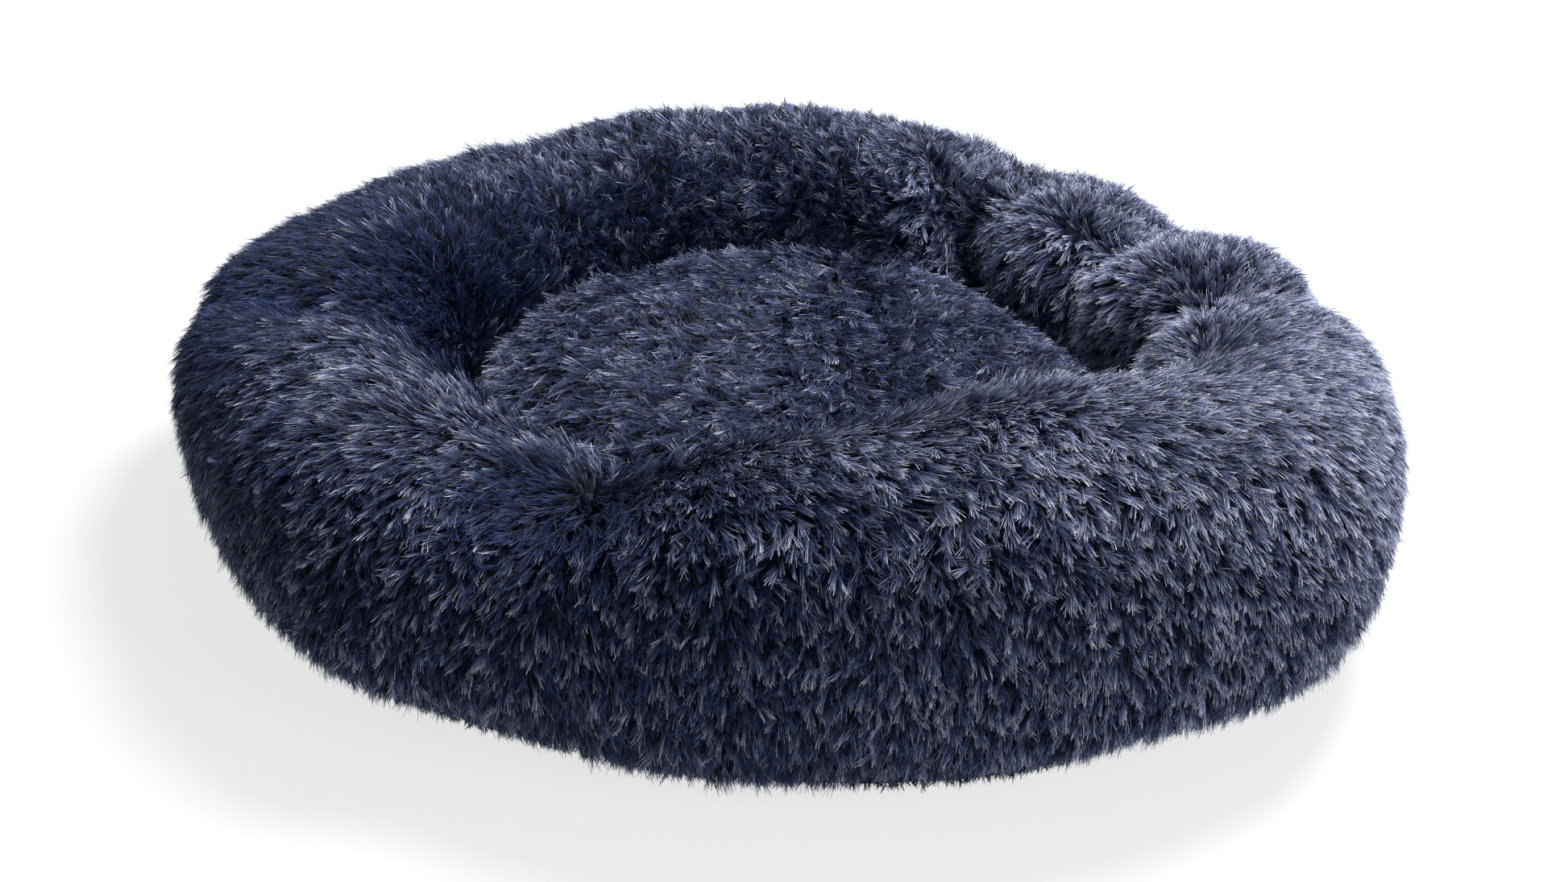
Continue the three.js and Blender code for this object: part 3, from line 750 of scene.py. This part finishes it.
def carded_fibre():
    """Carded hollow polyester staple, the inserts' stuffing: white, in soft wisps without any shine."""
    return patterned(
        "carded polyester fibre", (1.0, 0.1), "wisps", "ShaderNodeTexNoise",
        ((0.3, "deded9"), (0.7, "fafaf8")), [("Detail", 6)])


def dotted_oxford():
    """Coated oxford cloth with moulded PVC grip dots below it: charcoal with a fine square weave, scuffed
    paler in places, and black dots."""
    size, depth = PATTERNS["weave"]
    material, tree, shader = new_material("coated oxford with PVC dots", 0.6, 0.4)
    cloth = paint(tree, shader, weave_of(tree, size), ((0, "101218"), (1, "2a2e38")), depth)
    place = object_place(tree)
    scuffs = add_node(
        tree, "ShaderNodeTexNoise", [(0, place), ("Scale", 1 / PATTERNS["scuffs"][0]), ("Detail", 7)])
    worn = add_node(
        tree, "ShaderNodeMapRange",
        [(0, scuffs.outputs[0]), ("From Min", 0.45), ("From Max", 0.8), ("To Max", 0.3)])
    height = add_node(tree, "ShaderNodeSeparateXYZ", [(0, place)]).outputs[2]
    dot = add_node(tree, "ShaderNodeMath", [(0, height), (1, DOT_TOP)], operation="LESS_THAN")
    colour = cloth.outputs[0]
    for factor, paler in ((worn, "4a4e58"), (dot, "08090b")):
        inputs = zip(MIX_INPUTS, (factor.outputs[0], colour, hex_colour(paler)))
        colour = add_node(tree, "ShaderNodeMix", inputs, data_type="RGBA").outputs[MIX_OUTPUT]
    tree.links.new(colour, shader.inputs["Base Color"])
    return material


def twill_tape():
    """Polyester twill tape, as sewn round edges and beside a zip: navy, with fine slanting ribs."""
    return patterned(
        "polyester twill tape", (0.75, 0.3), "twill", "ShaderNodeTexWave",
        ((0, "0b1022"), (1, "1d2645")), turn=TWILL_SLANT)


def sewing_thread():
    """Bonded polyester thread: paler than the tape and smooth, with its twist in light and dark bands."""
    return patterned(
        "bonded polyester thread", (0.45, 0.5), "twist", "ShaderNodeTexWave",
        ((0, "1a2340"), (1, "3a466c")), bands_direction="DIAGONAL")


def moulded_acetal():
    """Acetal resin, moulded on the tape: nearly black and satin, with a faint flow grain."""
    return patterned(
        "moulded acetal", (0.38, 0.5), "grain", "ShaderNodeTexNoise",
        ((0.3, "11141c"), (0.7, "1b1f2a")), [("Detail", 3)])


def gunmetal_zinc():
    """Die-cast zinc alloy under gunmetal plate: a soft grey mirror, worn a little paler by hands."""
    return patterned(
        "gunmetal zinc casting", (0.34, 0.5, 1.0), "wear", "ShaderNodeTexNoise",
        ((0.35, "54575f"), (0.75, "6f727a")), [("Detail", 8)])


def pale_floor():
    """Matt white studio paper, which the camera sees partly as pure white."""
    stops = ((0, "f7f7f8"), (1, "fbfbfc"))
    material = patterned("matt studio paper", (0.9, 0.2), "paper", "ShaderNodeTexNoise", stops)
    tree = material.node_tree
    rays = background_rays(tree)
    share = add_node(tree, "ShaderNodeMath", [(0, rays), (1, FLOOR_WHITE)], operation="MULTIPLY")
    white = add_node(tree, "ShaderNodeEmission", [(0, hex_colour("ffffff"))])
    paper = tree.nodes["Principled BSDF"]
    inputs = [(0, share.outputs[0]), (1, paper.outputs[0]), (2, white.outputs[0])]
    mixed = add_node(tree, "ShaderNodeMixShader", inputs)
    tree.links.new(mixed.outputs[0], tree.nodes["Material Output"].inputs[0])
    return material


# Pile

# A strand has one corner at its root and two each at its bend and its cut tip, in a triangle and a quad. For
# its own map, each loop has a level up the strand and a side across it
STRAND_CORNERS = 5
STRAND_LOOPS = (0, 2, 1, 1, 2, 4, 3)
STRAND_STARTS = (0, 3)
STRAND_LEVELS = (0, 0.5, 0.5, 0.5, 0.5, 1, 1)
STRAND_SIDES = (0.5, 1, 0, 0, 1, 1, 0)
MAP_EDGE = 0.01
MAP_WIDTH = 0.004
MOST_STRANDS = 64000

# The steps of a strand: share of its length, lift in degrees where the pile stands and how much less that is
# where it is combed, droop, spread in lift, how far it closes on its tuft, and share of its curl
STRAND_STEPS = (
    (0.45, 80, 22, 0.05, 0.04, 0.20, 0.3),
    (0.55, 52, 36, 0.22, 0.09, 0.45, 1.0),
)

# How locks, tufts and strands differ in angle: the spread in radians and, in a pair, the share of it left
# where the pile isn't tousled
LOCK_TURN = (0.2, 0.3)
TUFT_TURN = (0.2, 0.4)
LOCK_RISE = (0.08, 0.5)
TUFT_CURL = (0.35, 0.4)
TUFT_RISE = 0.1
STRAND_HEADING = 0.06
STRAND_TURN = 0.12
STRAND_TWIST = 0.4

# How they differ in length and width: the least and the most, as shares
LOCK_LENGTH_SHARES = (0.88, 1.08)
TUFT_LENGTH_SHARES = (0.85, 1.12)
STRAND_LENGTH_SHARES = (0.7, 1.1)
STRAND_WIDTH_SHARES = (0.65, 1.35)

# How frosted they are, from 0 to 1. As many tufts as the tone of their place says, times their lock's share,
# are frosted. The rest have a small mean, which rises with the tone times the gain, between the shares. A
# strand differs from its tuft by its own spread, and the bright share of the strands by more
LOCK_FROSTED_SHARES = (0.5, 1.8)
FROSTED_TONES = (0.35, 0.95)
PLAIN_TONE = 0.07
PLAIN_GAIN = 5
PLAIN_SHARES = (0.2, 1)
STRAND_TONE = 0.1
BRIGHT_SHARE = 0.05
BRIGHT_TONE = 0.5
TONE_ENDS = (0.01, 0.985)

# The undercoat keeps this share of the variation in tone
UNDER_TONE_SHARE = 0.4

# As shares: how far strands draw together in a lock, how round a tuft is lit, and a cut tip's width
GATHER_SHARE = 0.15
ROUND_SHARE = 0.5
TIP_SHARE = 0.3

# How deep a strand starts in its backing, and how far it stays off the floor
ROOT_DEPTH = 2 * MM
FLOOR_CLEARANCE = 0.8 * MM


def roots_on(piece, spacing, random):
    """Points spread evenly over a sheet's faces, with their normals."""
    mesh = piece.data
    mesh.calc_loop_triangles()
    corners = np.zeros(len(mesh.loop_triangles) * 3, np.int32)
    mesh.loop_triangles.foreach_get("vertices", corners)
    corners = corners.reshape(-1, 3)
    points, normals = points_of(mesh), normals_of(mesh)
    first, second, third = (points[corners[:, k]] for k in range(3))
    areas = np.linalg.norm(np.cross(second - first, third - first), axis=1) / 2
    count = int(areas.sum() / spacing ** 2)
    marks = (np.arange(count) + random.uniform(size=count)) * areas.sum() / count
    chosen = corners[np.searchsorted(np.cumsum(areas), marks).clip(0, len(corners) - 1)]
    share = random.uniform(size=(count, 2))
    share = np.where(share.sum(1, keepdims=True) > 1, 1 - share, share)
    weights = np.column_stack([1 - share.sum(1), share])
    place = sum(points[chosen[:, k]] * weights[:, k:k + 1] for k in range(3))
    facing = unit(sum(normals[chosen[:, k]] * weights[:, k:k + 1] for k in range(3)))
    return place, facing


def dapple(points):
    """How the frosting varies from place to place, as a share."""
    return 1 + sum(amount * ripple(points, pitch, SEEDS["dapple"]) for pitch, amount in DAPPLES)


def rim_comb(points, normals):
    """How the rim's pile grows: the way it leans, how firmly, from 0, standing, to 1, how tousled and how
    frosted it is, with painted light and shade in the frosting, and how long, as a share."""
    clock, section, _, along, _, climb = around_rim(points)
    outer, inner = wall_shares(section, *COMB_WALLS)
    lean = -climb * outer[:, None]
    for weight, table in ((1 - outer - inner, CREST_COMB_DEGREES), (inner, INNER_COMB_DEGREES)):
        steps = np.arange(len(table)) * 360 / len(table)
        lengthways = np.interp(clock, steps, np.cos(np.radians(table)), period=360) * weight
        outwards = np.interp(clock, steps, np.sin(np.radians(table)), period=360) * weight
        lean += along * lengthways[:, None] - climb * outwards[:, None]
    for at, level, spread, strength in WHORLS:
        gap = clock_gap(clock, at) ** 2 + ((section - level) * SECTION_SHARE) ** 2
        away = (points - points[np.argmin(gap)]) / (spread * MM)
        lean += away * (WHORL_PEAK * strength * np.exp(-(away ** 2).sum(1)))[:, None]
    tousle = RIM_TOUSLE + OUTER_TOUSLE * outer + patches(clock, section, TOUSLES)
    turn = swirl(points, RIM_SWIRLS, SEEDS["rim swirl"]) * tousle
    comb = turned(unit(flattened(lean, normals)), normals, turn)
    firm = np.clip(np.linalg.norm(lean, axis=1), LEAST_FIRM, 1) * (1 - OUTER_SLACK * outer)
    # The tone is the frosting, with painted light and shade from the patches added in
    tone = (RIM_TONE + patches(clock, section, FROST_AND_LIGHT_PATCHES)) * dapple(points)
    length = 1 - OUTER_CROP * outer * smooth_step(section, *OUTER_CROP_SECTIONS)
    return comb, firm, tousle, tone, length


def pad_comb(points, normals):
    """The same for the pad: combed to the left, round by the front to the right, and out at its edge."""
    flat = (points - centre) * (1, 1, 0)
    edge = smooth_step(np.linalg.norm(flat, axis=1) / pad_radius, *PAD_EDGE_SHARES)
    bearing = np.radians(PAD_BEARING + PAD_TURN * smooth_step(flat[:, 0] / pad_radius, *PAD_TURN_SHARES))
    flow = np.stack([np.cos(bearing), np.sin(bearing), bearing * 0], 1)
    lean = flow * (1 - edge)[:, None] + unit(flat) * edge[:, None]
    turn = swirl(points, PAD_SWIRLS, SEEDS["pad swirl"]) * (1 - EDGE_CALM * edge)
    comb = turned(unit(flattened(lean, normals)), normals, turn)
    whole = np.ones(len(points))
    return comb, 1 - EDGE_SLACK * edge, whole, (PAD_TONE + EDGE_TONE * edge) * dapple(points), whole


def band_comb(points, normals):
    """The same for the skirt band, whose pile hangs."""
    down = unit(flattened(normals * 0 - (0, 0, 1), normals))
    whole = np.ones(len(points))
    return down, whole, whole * BAND_TOUSLE, whole * BAND_TONE, whole


def lock_of(points, per_lock, random):
    """The number of the lock each tuft falls into, and the place of that lock's middle."""
    middles = random.choice(len(points), max(1, len(points) // per_lock), replace=False)
    tree = KDTree(len(middles))
    for index, middle in enumerate(middles):
        tree.insert(points[middle], index)
    tree.balance()
    lock = np.array([tree.find(point)[1] for point in points])
    return lock, points[middles[lock]]


def grow(points, normals, comb, firm, tousle, tone, length, kind, random):
    """Corners, tones and shading normals of strands. They stand in tufts on the points, and lean along the
    comb in locks. The normals round each tuft, so that it is lit as the soft bundle of fine fibres that it
    stands for."""
    tufts = len(points)
    lock, middle = lock_of(points, kind.lock_tufts, random)
    locks = lock.max() + 1

    def strewn(spread, calm, count, chosen=slice(None)):
        return random.normal(0, spread, count)[chosen] * (calm + tousle)

    comb = turned(comb, normals, strewn(*LOCK_TURN, locks, lock) + strewn(*TUFT_TURN, tufts))
    rise = strewn(*LOCK_RISE, locks, lock) + random.normal(0, TUFT_RISE, tufts)
    curl = strewn(*TUFT_CURL, tufts)
    length = (length * kind.length * random.uniform(*LOCK_LENGTH_SHARES, locks)[lock]
              * random.uniform(*TUFT_LENGTH_SHARES, tufts))
    frosted = random.uniform(size=tufts) < tone * random.uniform(*LOCK_FROSTED_SHARES, locks)[lock]
    plain = np.clip(tone * PLAIN_GAIN, *PLAIN_SHARES)
    tone = np.where(
        frosted, random.uniform(*FROSTED_TONES, tufts), random.exponential(PLAIN_TONE, tufts) * plain)
    gather = flattened(middle - points, normals)

    each = np.repeat(np.arange(tufts), kind.strands)
    count = len(each)
    normal, comb, gather = normals[each], comb[each], gather[each]
    bearing = random.uniform(0, math.tau, count)
    offset = turned(comb, normal, bearing)
    offset *= (kind.tuft_radius * np.sqrt(random.uniform(size=count)))[:, None]
    flat = turned(comb, normal, random.normal(0, STRAND_HEADING, count))
    length = length[each] * random.uniform(*STRAND_LENGTH_SHARES, count)
    spine = [points[each] + offset - normal * ROOT_DEPTH]
    for share, stand, press, droop, spread, close, curl_share in STRAND_STEPS:
        lift = np.radians(stand - press * firm) + rise
        angle = (lift[each] + random.normal(0, spread, count))[:, None]
        flat = turned(flat, normal, (curl[each] + random.normal(0, STRAND_TURN, count)) * curl_share)
        heading = flat * np.cos(angle) + normal * np.sin(angle) - np.array((0, 0, droop))
        step = unit(heading) * (length * share)[:, None]
        spine.append(spine[-1] + step - offset * close + gather * (GATHER_SHARE * share))
    root, bend, tip = spine
    heading = unit(tip - root)
    facing = unit(flattened(normal, heading) + offset * (ROUND_SHARE / kind.tuft_radius))
    side = turned(unit(np.cross(heading, facing)), heading, random.normal(0, STRAND_TWIST, count))
    half = side * (kind.width / 2 * random.uniform(*STRAND_WIDTH_SHARES, count))[:, None]
    cut = half * TIP_SHARE
    corners = np.stack([root, bend - half, bend + half, tip - cut, tip + cut], 1)
    corners[:, :, 2] = np.maximum(corners[:, :, 2], FLOOR_CLEARANCE)
    tones = tone[each] + random.normal(0, STRAND_TONE, count) * plain[each]
    tones += BRIGHT_TONE * (random.uniform(size=count) < BRIGHT_SHARE * plain[each])
    return corners, np.clip(tones, *TONE_ENDS), facing


def strand_piece(name, corners, tones, facing, material, slot, node):
    """One piece of pile, written as mesh data, since no operator makes so many strands."""
    count = len(corners)
    mesh = bpy.data.meshes.new(name)
    mesh.vertices.add(count * STRAND_CORNERS)
    mesh.vertices.foreach_set("co", corners.astype(np.float32).ravel())
    loops = np.arange(count)[:, None] * STRAND_CORNERS + np.array(STRAND_LOOPS)
    mesh.loops.add(loops.size)
    mesh.loops.foreach_set("vertex_index", loops.astype(np.int32).ravel())
    starts = np.arange(count)[:, None] * len(STRAND_LOOPS) + np.array(STRAND_STARTS)
    mesh.polygons.add(starts.size)
    mesh.polygons.foreach_set("loop_start", starts.astype(np.int32).ravel())
    mesh.polygons.foreach_set("use_smooth", np.ones(starts.size, bool))
    across = tones[:, None] + np.array(STRAND_SIDES) * MAP_WIDTH
    up = np.broadcast_to(MAP_EDGE + (1 - 2 * MAP_EDGE) * np.array(STRAND_LEVELS), across.shape)
    strand_map = mesh.uv_layers.new(name="OFBake")
    strand_map.data.foreach_set("uv", np.stack([across, up], -1).astype(np.float32).ravel())
    mesh.update(calc_edges=True)
    mesh.normals_split_custom_set_from_vertices(np.repeat(facing, STRAND_CORNERS, axis=0))
    finish_piece(link_piece(name, mesh), material, slot, node)


def pile_pieces(name, corners, tones, facing, material, slot, node):
    """A cover's pile, in pieces by clock angle, so that none has too many faces."""
    flat = corners[:, 0] - centre
    order = np.argsort(np.arctan2(flat[:, 1], flat[:, 0]), kind="stable")
    parts = np.array_split(order, math.ceil(len(corners) / MOST_STRANDS))
    for number, chosen in enumerate(parts, 1):
        strand_piece(
            f"{name}_{number}", corners[chosen], tones[chosen], facing[chosen], material, slot, node)


# Seams

# The corners of a stitch: how far along it each is, and how many thread radii it goes up into the cloth
STITCH_MARKS = (0, 0.18, 0.82, 1)
STITCH_SINKS = (2, 0.5, 0.5, 2)

# How far a row of stitches stays from a tape's ends
STITCH_MARGIN = 4 * MM

# The base binding's lip: its height, the step and the window in which its edges are found, and how far
# across it, from its inside, the stitches lie
LIP_HEIGHT = 0.5 * MM
LIP_STEP_DEGREES = 3
LIP_WINDOW_DEGREES = 4
LIP_SHARE = 0.35


def stitch_row(name, path, settings, thread, slot, node):
    """A row of stitches under a tape, along a path of points."""
    steps = np.linalg.norm(np.diff(path, axis=0), axis=1)
    reach = np.concatenate([[0], np.cumsum(steps)])
    curve = bpy.data.curves.new(name, "CURVE")
    curve.dimensions = "3D"
    curve.bevel_depth = settings.thread_radius
    curve.bevel_resolution = 1
    curve.use_fill_caps = True
    for start in np.arange(0, reach[-1] - settings.stitch_length, settings.stitch_pitch):
        marks = start + settings.stitch_length * np.array(STITCH_MARKS)
        places = np.column_stack([np.interp(marks, reach, path[:, axis]) for axis in range(3)])
        places[:, 2] += settings.thread_radius * np.array(STITCH_SINKS)
        spline = curve.splines.new("POLY")
        spline.points.add(len(places) - 1)
        spline.points.foreach_set("co", np.column_stack([places, np.ones(len(places))]).ravel())
    piece = link_piece(name, curve)
    bpy.ops.object.convert(target="MESH")
    finish_piece(piece, thread, slot, node)


def binding_path():
    """A path round the base binding's lower lip."""
    points = points_of(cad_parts["base_binding"].data)
    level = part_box("base_binding")[0].z
    lip = points[points[:, 2] < level + LIP_HEIGHT]
    clock = around_rim(lip)[0]
    radius = np.linalg.norm((lip - centre)[:, :2], axis=1)
    marks = np.arange(0, 360 + LIP_STEP_DEGREES, LIP_STEP_DEGREES)
    near = [radius[np.abs(clock_gap(clock, mark)) < LIP_WINDOW_DEGREES] for mark in marks]
    inside = np.array([window.min() for window in near])
    outside = np.array([window.max() for window in near])
    reach = inside * (1 - LIP_SHARE) + outside * LIP_SHARE
    angle = np.radians(marks)
    level = np.full(len(marks), level)
    return np.column_stack([centre[0] + reach * np.cos(angle), centre[1] + reach * np.sin(angle), level])


def tape_path(node, share):
    """A line along a zip tape's underside, at a share of its width from the rear."""
    low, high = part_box(node)
    y = high.y + (low.y - high.y) * share
    return np.array([(low.x + STITCH_MARGIN, y, low.z), (high.x - STITCH_MARGIN, y, low.z)])


# Operators

class DOGBED_OT_stage(bpy.types.Operator):
    """A plain pale floor, soft studio light and a camera at the photograph's viewing angle"""
    bl_idname = "dogbed.stage"
    bl_label = "Stage"

    def execute(self, context):
        settings = context.scene.dog_bed
        bpy.ops.mesh.primitive_circle_add(vertices=FLOOR_SIDES, radius=FLOOR_RADIUS, fill_type="NGON")
        floor = context.object
        floor.name = "floor"
        floor.data.materials.append(pale_floor())
        self.light_world(settings.sky)
        aim = Vector(centre) + Vector((0, 0, core_height))
        for name, place, size in LAMPS:
            bpy.ops.object.light_add(type="AREA", location=place)
            lamp = context.object
            lamp.name = name
            lamp.data.shape = "DISK"
            lamp.data.size = size
            lamp.data.energy = getattr(settings, name + "_watts")
            lamp.rotation_euler = (aim - lamp.location).to_track_quat("-Z", "Y").to_euler()
        self.place_camera(context.scene)
        context.scene.view_settings.view_transform = "Standard"
        return {"FINISHED"}

    @staticmethod
    def light_world(strength):
        """Even pale light, which the camera sees as white."""
        world = bpy.data.worlds.new("studio")
        bpy.context.scene.world = world
        world.use_nodes = True
        tree = world.node_tree
        sky = tree.nodes["Background"]
        sky.inputs[0].default_value = hex_colour("f2f6ff")
        sky.inputs[1].default_value = strength
        white = add_node(tree, "ShaderNodeBackground", [(0, hex_colour("ffffff")), (1, 1)])
        inputs = [(0, background_rays(tree)), (1, sky.outputs[0]), (2, white.outputs[0])]
        mixed = add_node(tree, "ShaderNodeMixShader", inputs)
        tree.links.new(mixed.outputs[0], tree.nodes["World Output"].inputs[0])

    @staticmethod
    def place_camera(scene):
        back = Vector((0, -math.cos(VIEW_ELEVATION), math.sin(VIEW_ELEVATION)))
        level = Vector((1, 0, 0))
        right = level * math.cos(VIEW_ROLL) + back.cross(level) * math.sin(VIEW_ROLL)
        axes = Matrix((right, back.cross(right), back)).transposed().to_4x4()
        bpy.ops.object.camera_add()
        camera = bpy.context.object
        place = Vector(centre) + Vector(VIEW_AIM) + back * VIEW_DISTANCE
        camera.matrix_world = Matrix.Translation(place) @ axes
        camera.data.sensor_width = SENSOR_WIDTH_MM
        camera.data.lens = FOCAL_LENGTH_PX / PHOTO_WIDTH_PX * SENSOR_WIDTH_MM
        scene.camera = camera


class DOGBED_OT_inserts(bpy.types.Operator):
    """The stuffed inserts of the rim and the pad: casings and fibre"""
    bl_idname = "dogbed.inserts"
    bl_label = "Inserts"

    def execute(self, context):
        casing = spunbond()
        stuffing = carded_fibre()
        layers = (
            ("liner_upper", casing, "nonwoven"),
            ("liner_lower", casing, "nonwoven"),
            ("fill", stuffing, "fibre_fill"),
        )
        for part, sculpt in (("rim", sculpt_rim_insert), ("pad", sculpt_pad)):
            for layer, material, slot in layers:
                node = f"{part}_{layer}"
                piece = soft_copy(node, node + "_soft")
                soften(piece, levels=1, subdivision="SIMPLE")
                move_points(piece, sculpt(points_of(piece.data)))
                finish_piece(piece, material, slot, node)
        return {"FINISHED"}


class DOGBED_OT_covers(bpy.types.Operator):
    """The knitted covers of the rim and the pad, and the long pile that stands on them"""
    bl_idname = "dogbed.covers"
    bl_label = "Covers and long pile"

    def execute(self, context):
        settings = context.scene.dog_bed
        backing = knitted_backing()
        shag = tipped_shag()
        for part, core, sculpt, comb_of, fill in (
            ("rim", rim_core, sculpt_rim, rim_comb, 0.7),
            ("pad", pad_core, sculpt_pad, pad_comb, 0.55),
        ):
            node, slot = part + "_cover", part + "_shag"
            cloth = cover_skin(node, node + "_cloth", core)
            move_points(cloth, sculpt(points_of(cloth.data)))
            normals = normals_of(cloth.data)
            sunk = settings.cloth_depth * smooth_step(normals[:, 2], *HEM_FACINGS)
            move_points(cloth, points_of(cloth.data) - normals * sunk[:, None])
            puff(cloth, settings)
            soften(cloth, levels=1)
            random = np.random.default_rng(SEEDS[part + " pile"])
            for kind_name, frosting, tone_share in (("long", 1, 1), ("under", 0, UNDER_TONE_SHARE)):
                kind = settings.piles[kind_name]
                points, normals = roots_on(cloth, kind.spacing, random)
                comb, firm, tousle, tone, length = comb_of(points, normals)
                length = length * (HEM_SHARE + (1 - HEM_SHARE) * smooth_step(normals[:, 2], *HEM_FACINGS))
                corners, tones, facing = grow(
                    points, normals, comb, firm, tousle, tone * frosting, length, kind, random)
                pile_pieces(
                    f"{part}_{kind_name}_pile", corners, tones * tone_share, facing, shag, slot, node)
            use_modifier(cloth, "SOLIDIFY", thickness=settings.cloth_thickness, offset=-1)
            finish_piece(cloth, backing, slot, node)
        return {"FINISHED"}


class DOGBED_OT_band(bpy.types.Operator):
    """The skirt band round the foot, with its short dark pile"""
    bl_idname = "dogbed.band"
    bl_label = "Skirt band"

    def execute(self, context):
        kind = context.scene.dog_bed.piles["band"]
        cloth = soft_copy("skirt_band", "skirt_band_cloth")
        soften(cloth, levels=1)
        random = np.random.default_rng(SEEDS["band pile"])
        points, normals = roots_on(cloth, kind.spacing, random)
        outside = (normals * around_rim(points)[2]).sum(1) > BAND_FACING
        points, normals = points[outside], normals[outside]
        corners, tones, facing = grow(points, normals, *band_comb(points, normals), kind, random)
        pile_pieces("skirt_band_pile", corners, tones, facing, tipped_shag(), "short_pile", "skirt_band")
        finish_piece(cloth, knitted_backing(), "short_pile", "skirt_band")
        return {"FINISHED"}


class DOGBED_OT_base(bpy.types.Operator):
    """The coated base, its binding with a row of stitches, and the bound seam of the well"""
    bl_idname = "dogbed.base"
    bl_label = "Base"

    def execute(self, context):
        settings = context.scene.dog_bed
        oxford = dotted_oxford()
        tape = twill_tape()
        for node, material, slot in (
            ("base_panel_rear", oxford, "coated_cloth"),
            ("base_panel_front", oxford, "coated_cloth"),
            ("base_binding", tape, "binding_tape"),
            ("well_seam_binding", tape, "binding_tape"),
        ):
            piece = sheet_copy(node, node + "_sewn", settings.easing)
            finish_piece(piece, material, slot, node)
        thread = sewing_thread()
        path = binding_path()
        stitch_row("base_binding_stitches", path, settings, thread, "binding_tape", "base_binding")
        return {"FINISHED"}


class DOGBED_OT_zip(bpy.types.Operator):
    """The zip under the pad: tapes with their stitches, teeth, stops, slider and pull"""
    bl_idname = "dogbed.zip"
    bl_label = "Zip"

    def execute(self, context):
        settings = context.scene.dog_bed
        tape = twill_tape()
        thread = sewing_thread()
        for node, shares in (("zip_tape_rear", (0.2, 0.45)), ("zip_tape_front", (0.55, 0.8))):
            piece = sheet_copy(node, node + "_woven", settings.easing)
            finish_piece(piece, tape, "zip_tape", node)
            for number, share in enumerate(shares, 1):
                path = tape_path(node, share)
                stitch_row(f"{node}_stitches_{number}", path, settings, thread, "zip_tape", node)
        moulded = ("zip_chain_rear", "zip_chain_front", "top_stop_rear", "top_stop_front", "bottom_stop")
        cast = ("zip_slider", "zip_pull")
        for material, nodes in ((moulded_acetal(), moulded), (gunmetal_zinc(), cast)):
            for node in nodes:
                dress_node(node, material, settings.easing)
        return {"FINISHED"}


class DOGBED_PT_panel(bpy.types.Panel):
    """Builds the bed from the sidebar"""
    bl_idname = "DOGBED_PT_panel"
    bl_label = "Round shag dog bed"
    bl_space_type = "VIEW_3D"
    bl_region_type = "UI"
    bl_category = "Dog Bed"

    def draw(self, context):
        for operator in OPERATORS:
            self.layout.operator(operator.bl_idname)
        settings = context.scene.dog_bed
        for name in settings.bl_rna.properties.keys():
            if name not in ("rna_type", "name", "piles"):
                self.layout.prop(settings, name)
        for kind in settings.piles:
            box = self.layout.box()
            box.label(text=kind.name)
            for name in PILE_KINDS[kind.name]:
                box.prop(kind, name)


OPERATORS = (
    DOGBED_OT_stage, DOGBED_OT_inserts, DOGBED_OT_covers, DOGBED_OT_band, DOGBED_OT_base, DOGBED_OT_zip,
)
CLASSES = (PileKind, BedSettings, *OPERATORS, DOGBED_PT_panel)


def register():
    for each in CLASSES:
        bpy.utils.register_class(each)
    bpy.types.Scene.dog_bed = bpy.props.PointerProperty(type=BedSettings)


def unregister():
    del bpy.types.Scene.dog_bed
    for each in reversed(CLASSES):
        bpy.utils.unregister_class(each)


def main():
    register()
    for name, sizes in PILE_KINDS.items():
        kind = bpy.context.scene.dog_bed.piles.add()
        kind.name = name
        for field, value in sizes.items():
            setattr(kind, field, value)
    bpy.ops.dogbed.stage()
    bpy.ops.dogbed.inserts()
    bpy.ops.dogbed.covers()
    bpy.ops.dogbed.band()
    bpy.ops.dogbed.base()
    bpy.ops.dogbed.zip()


if __name__ == "__main__":
    main()
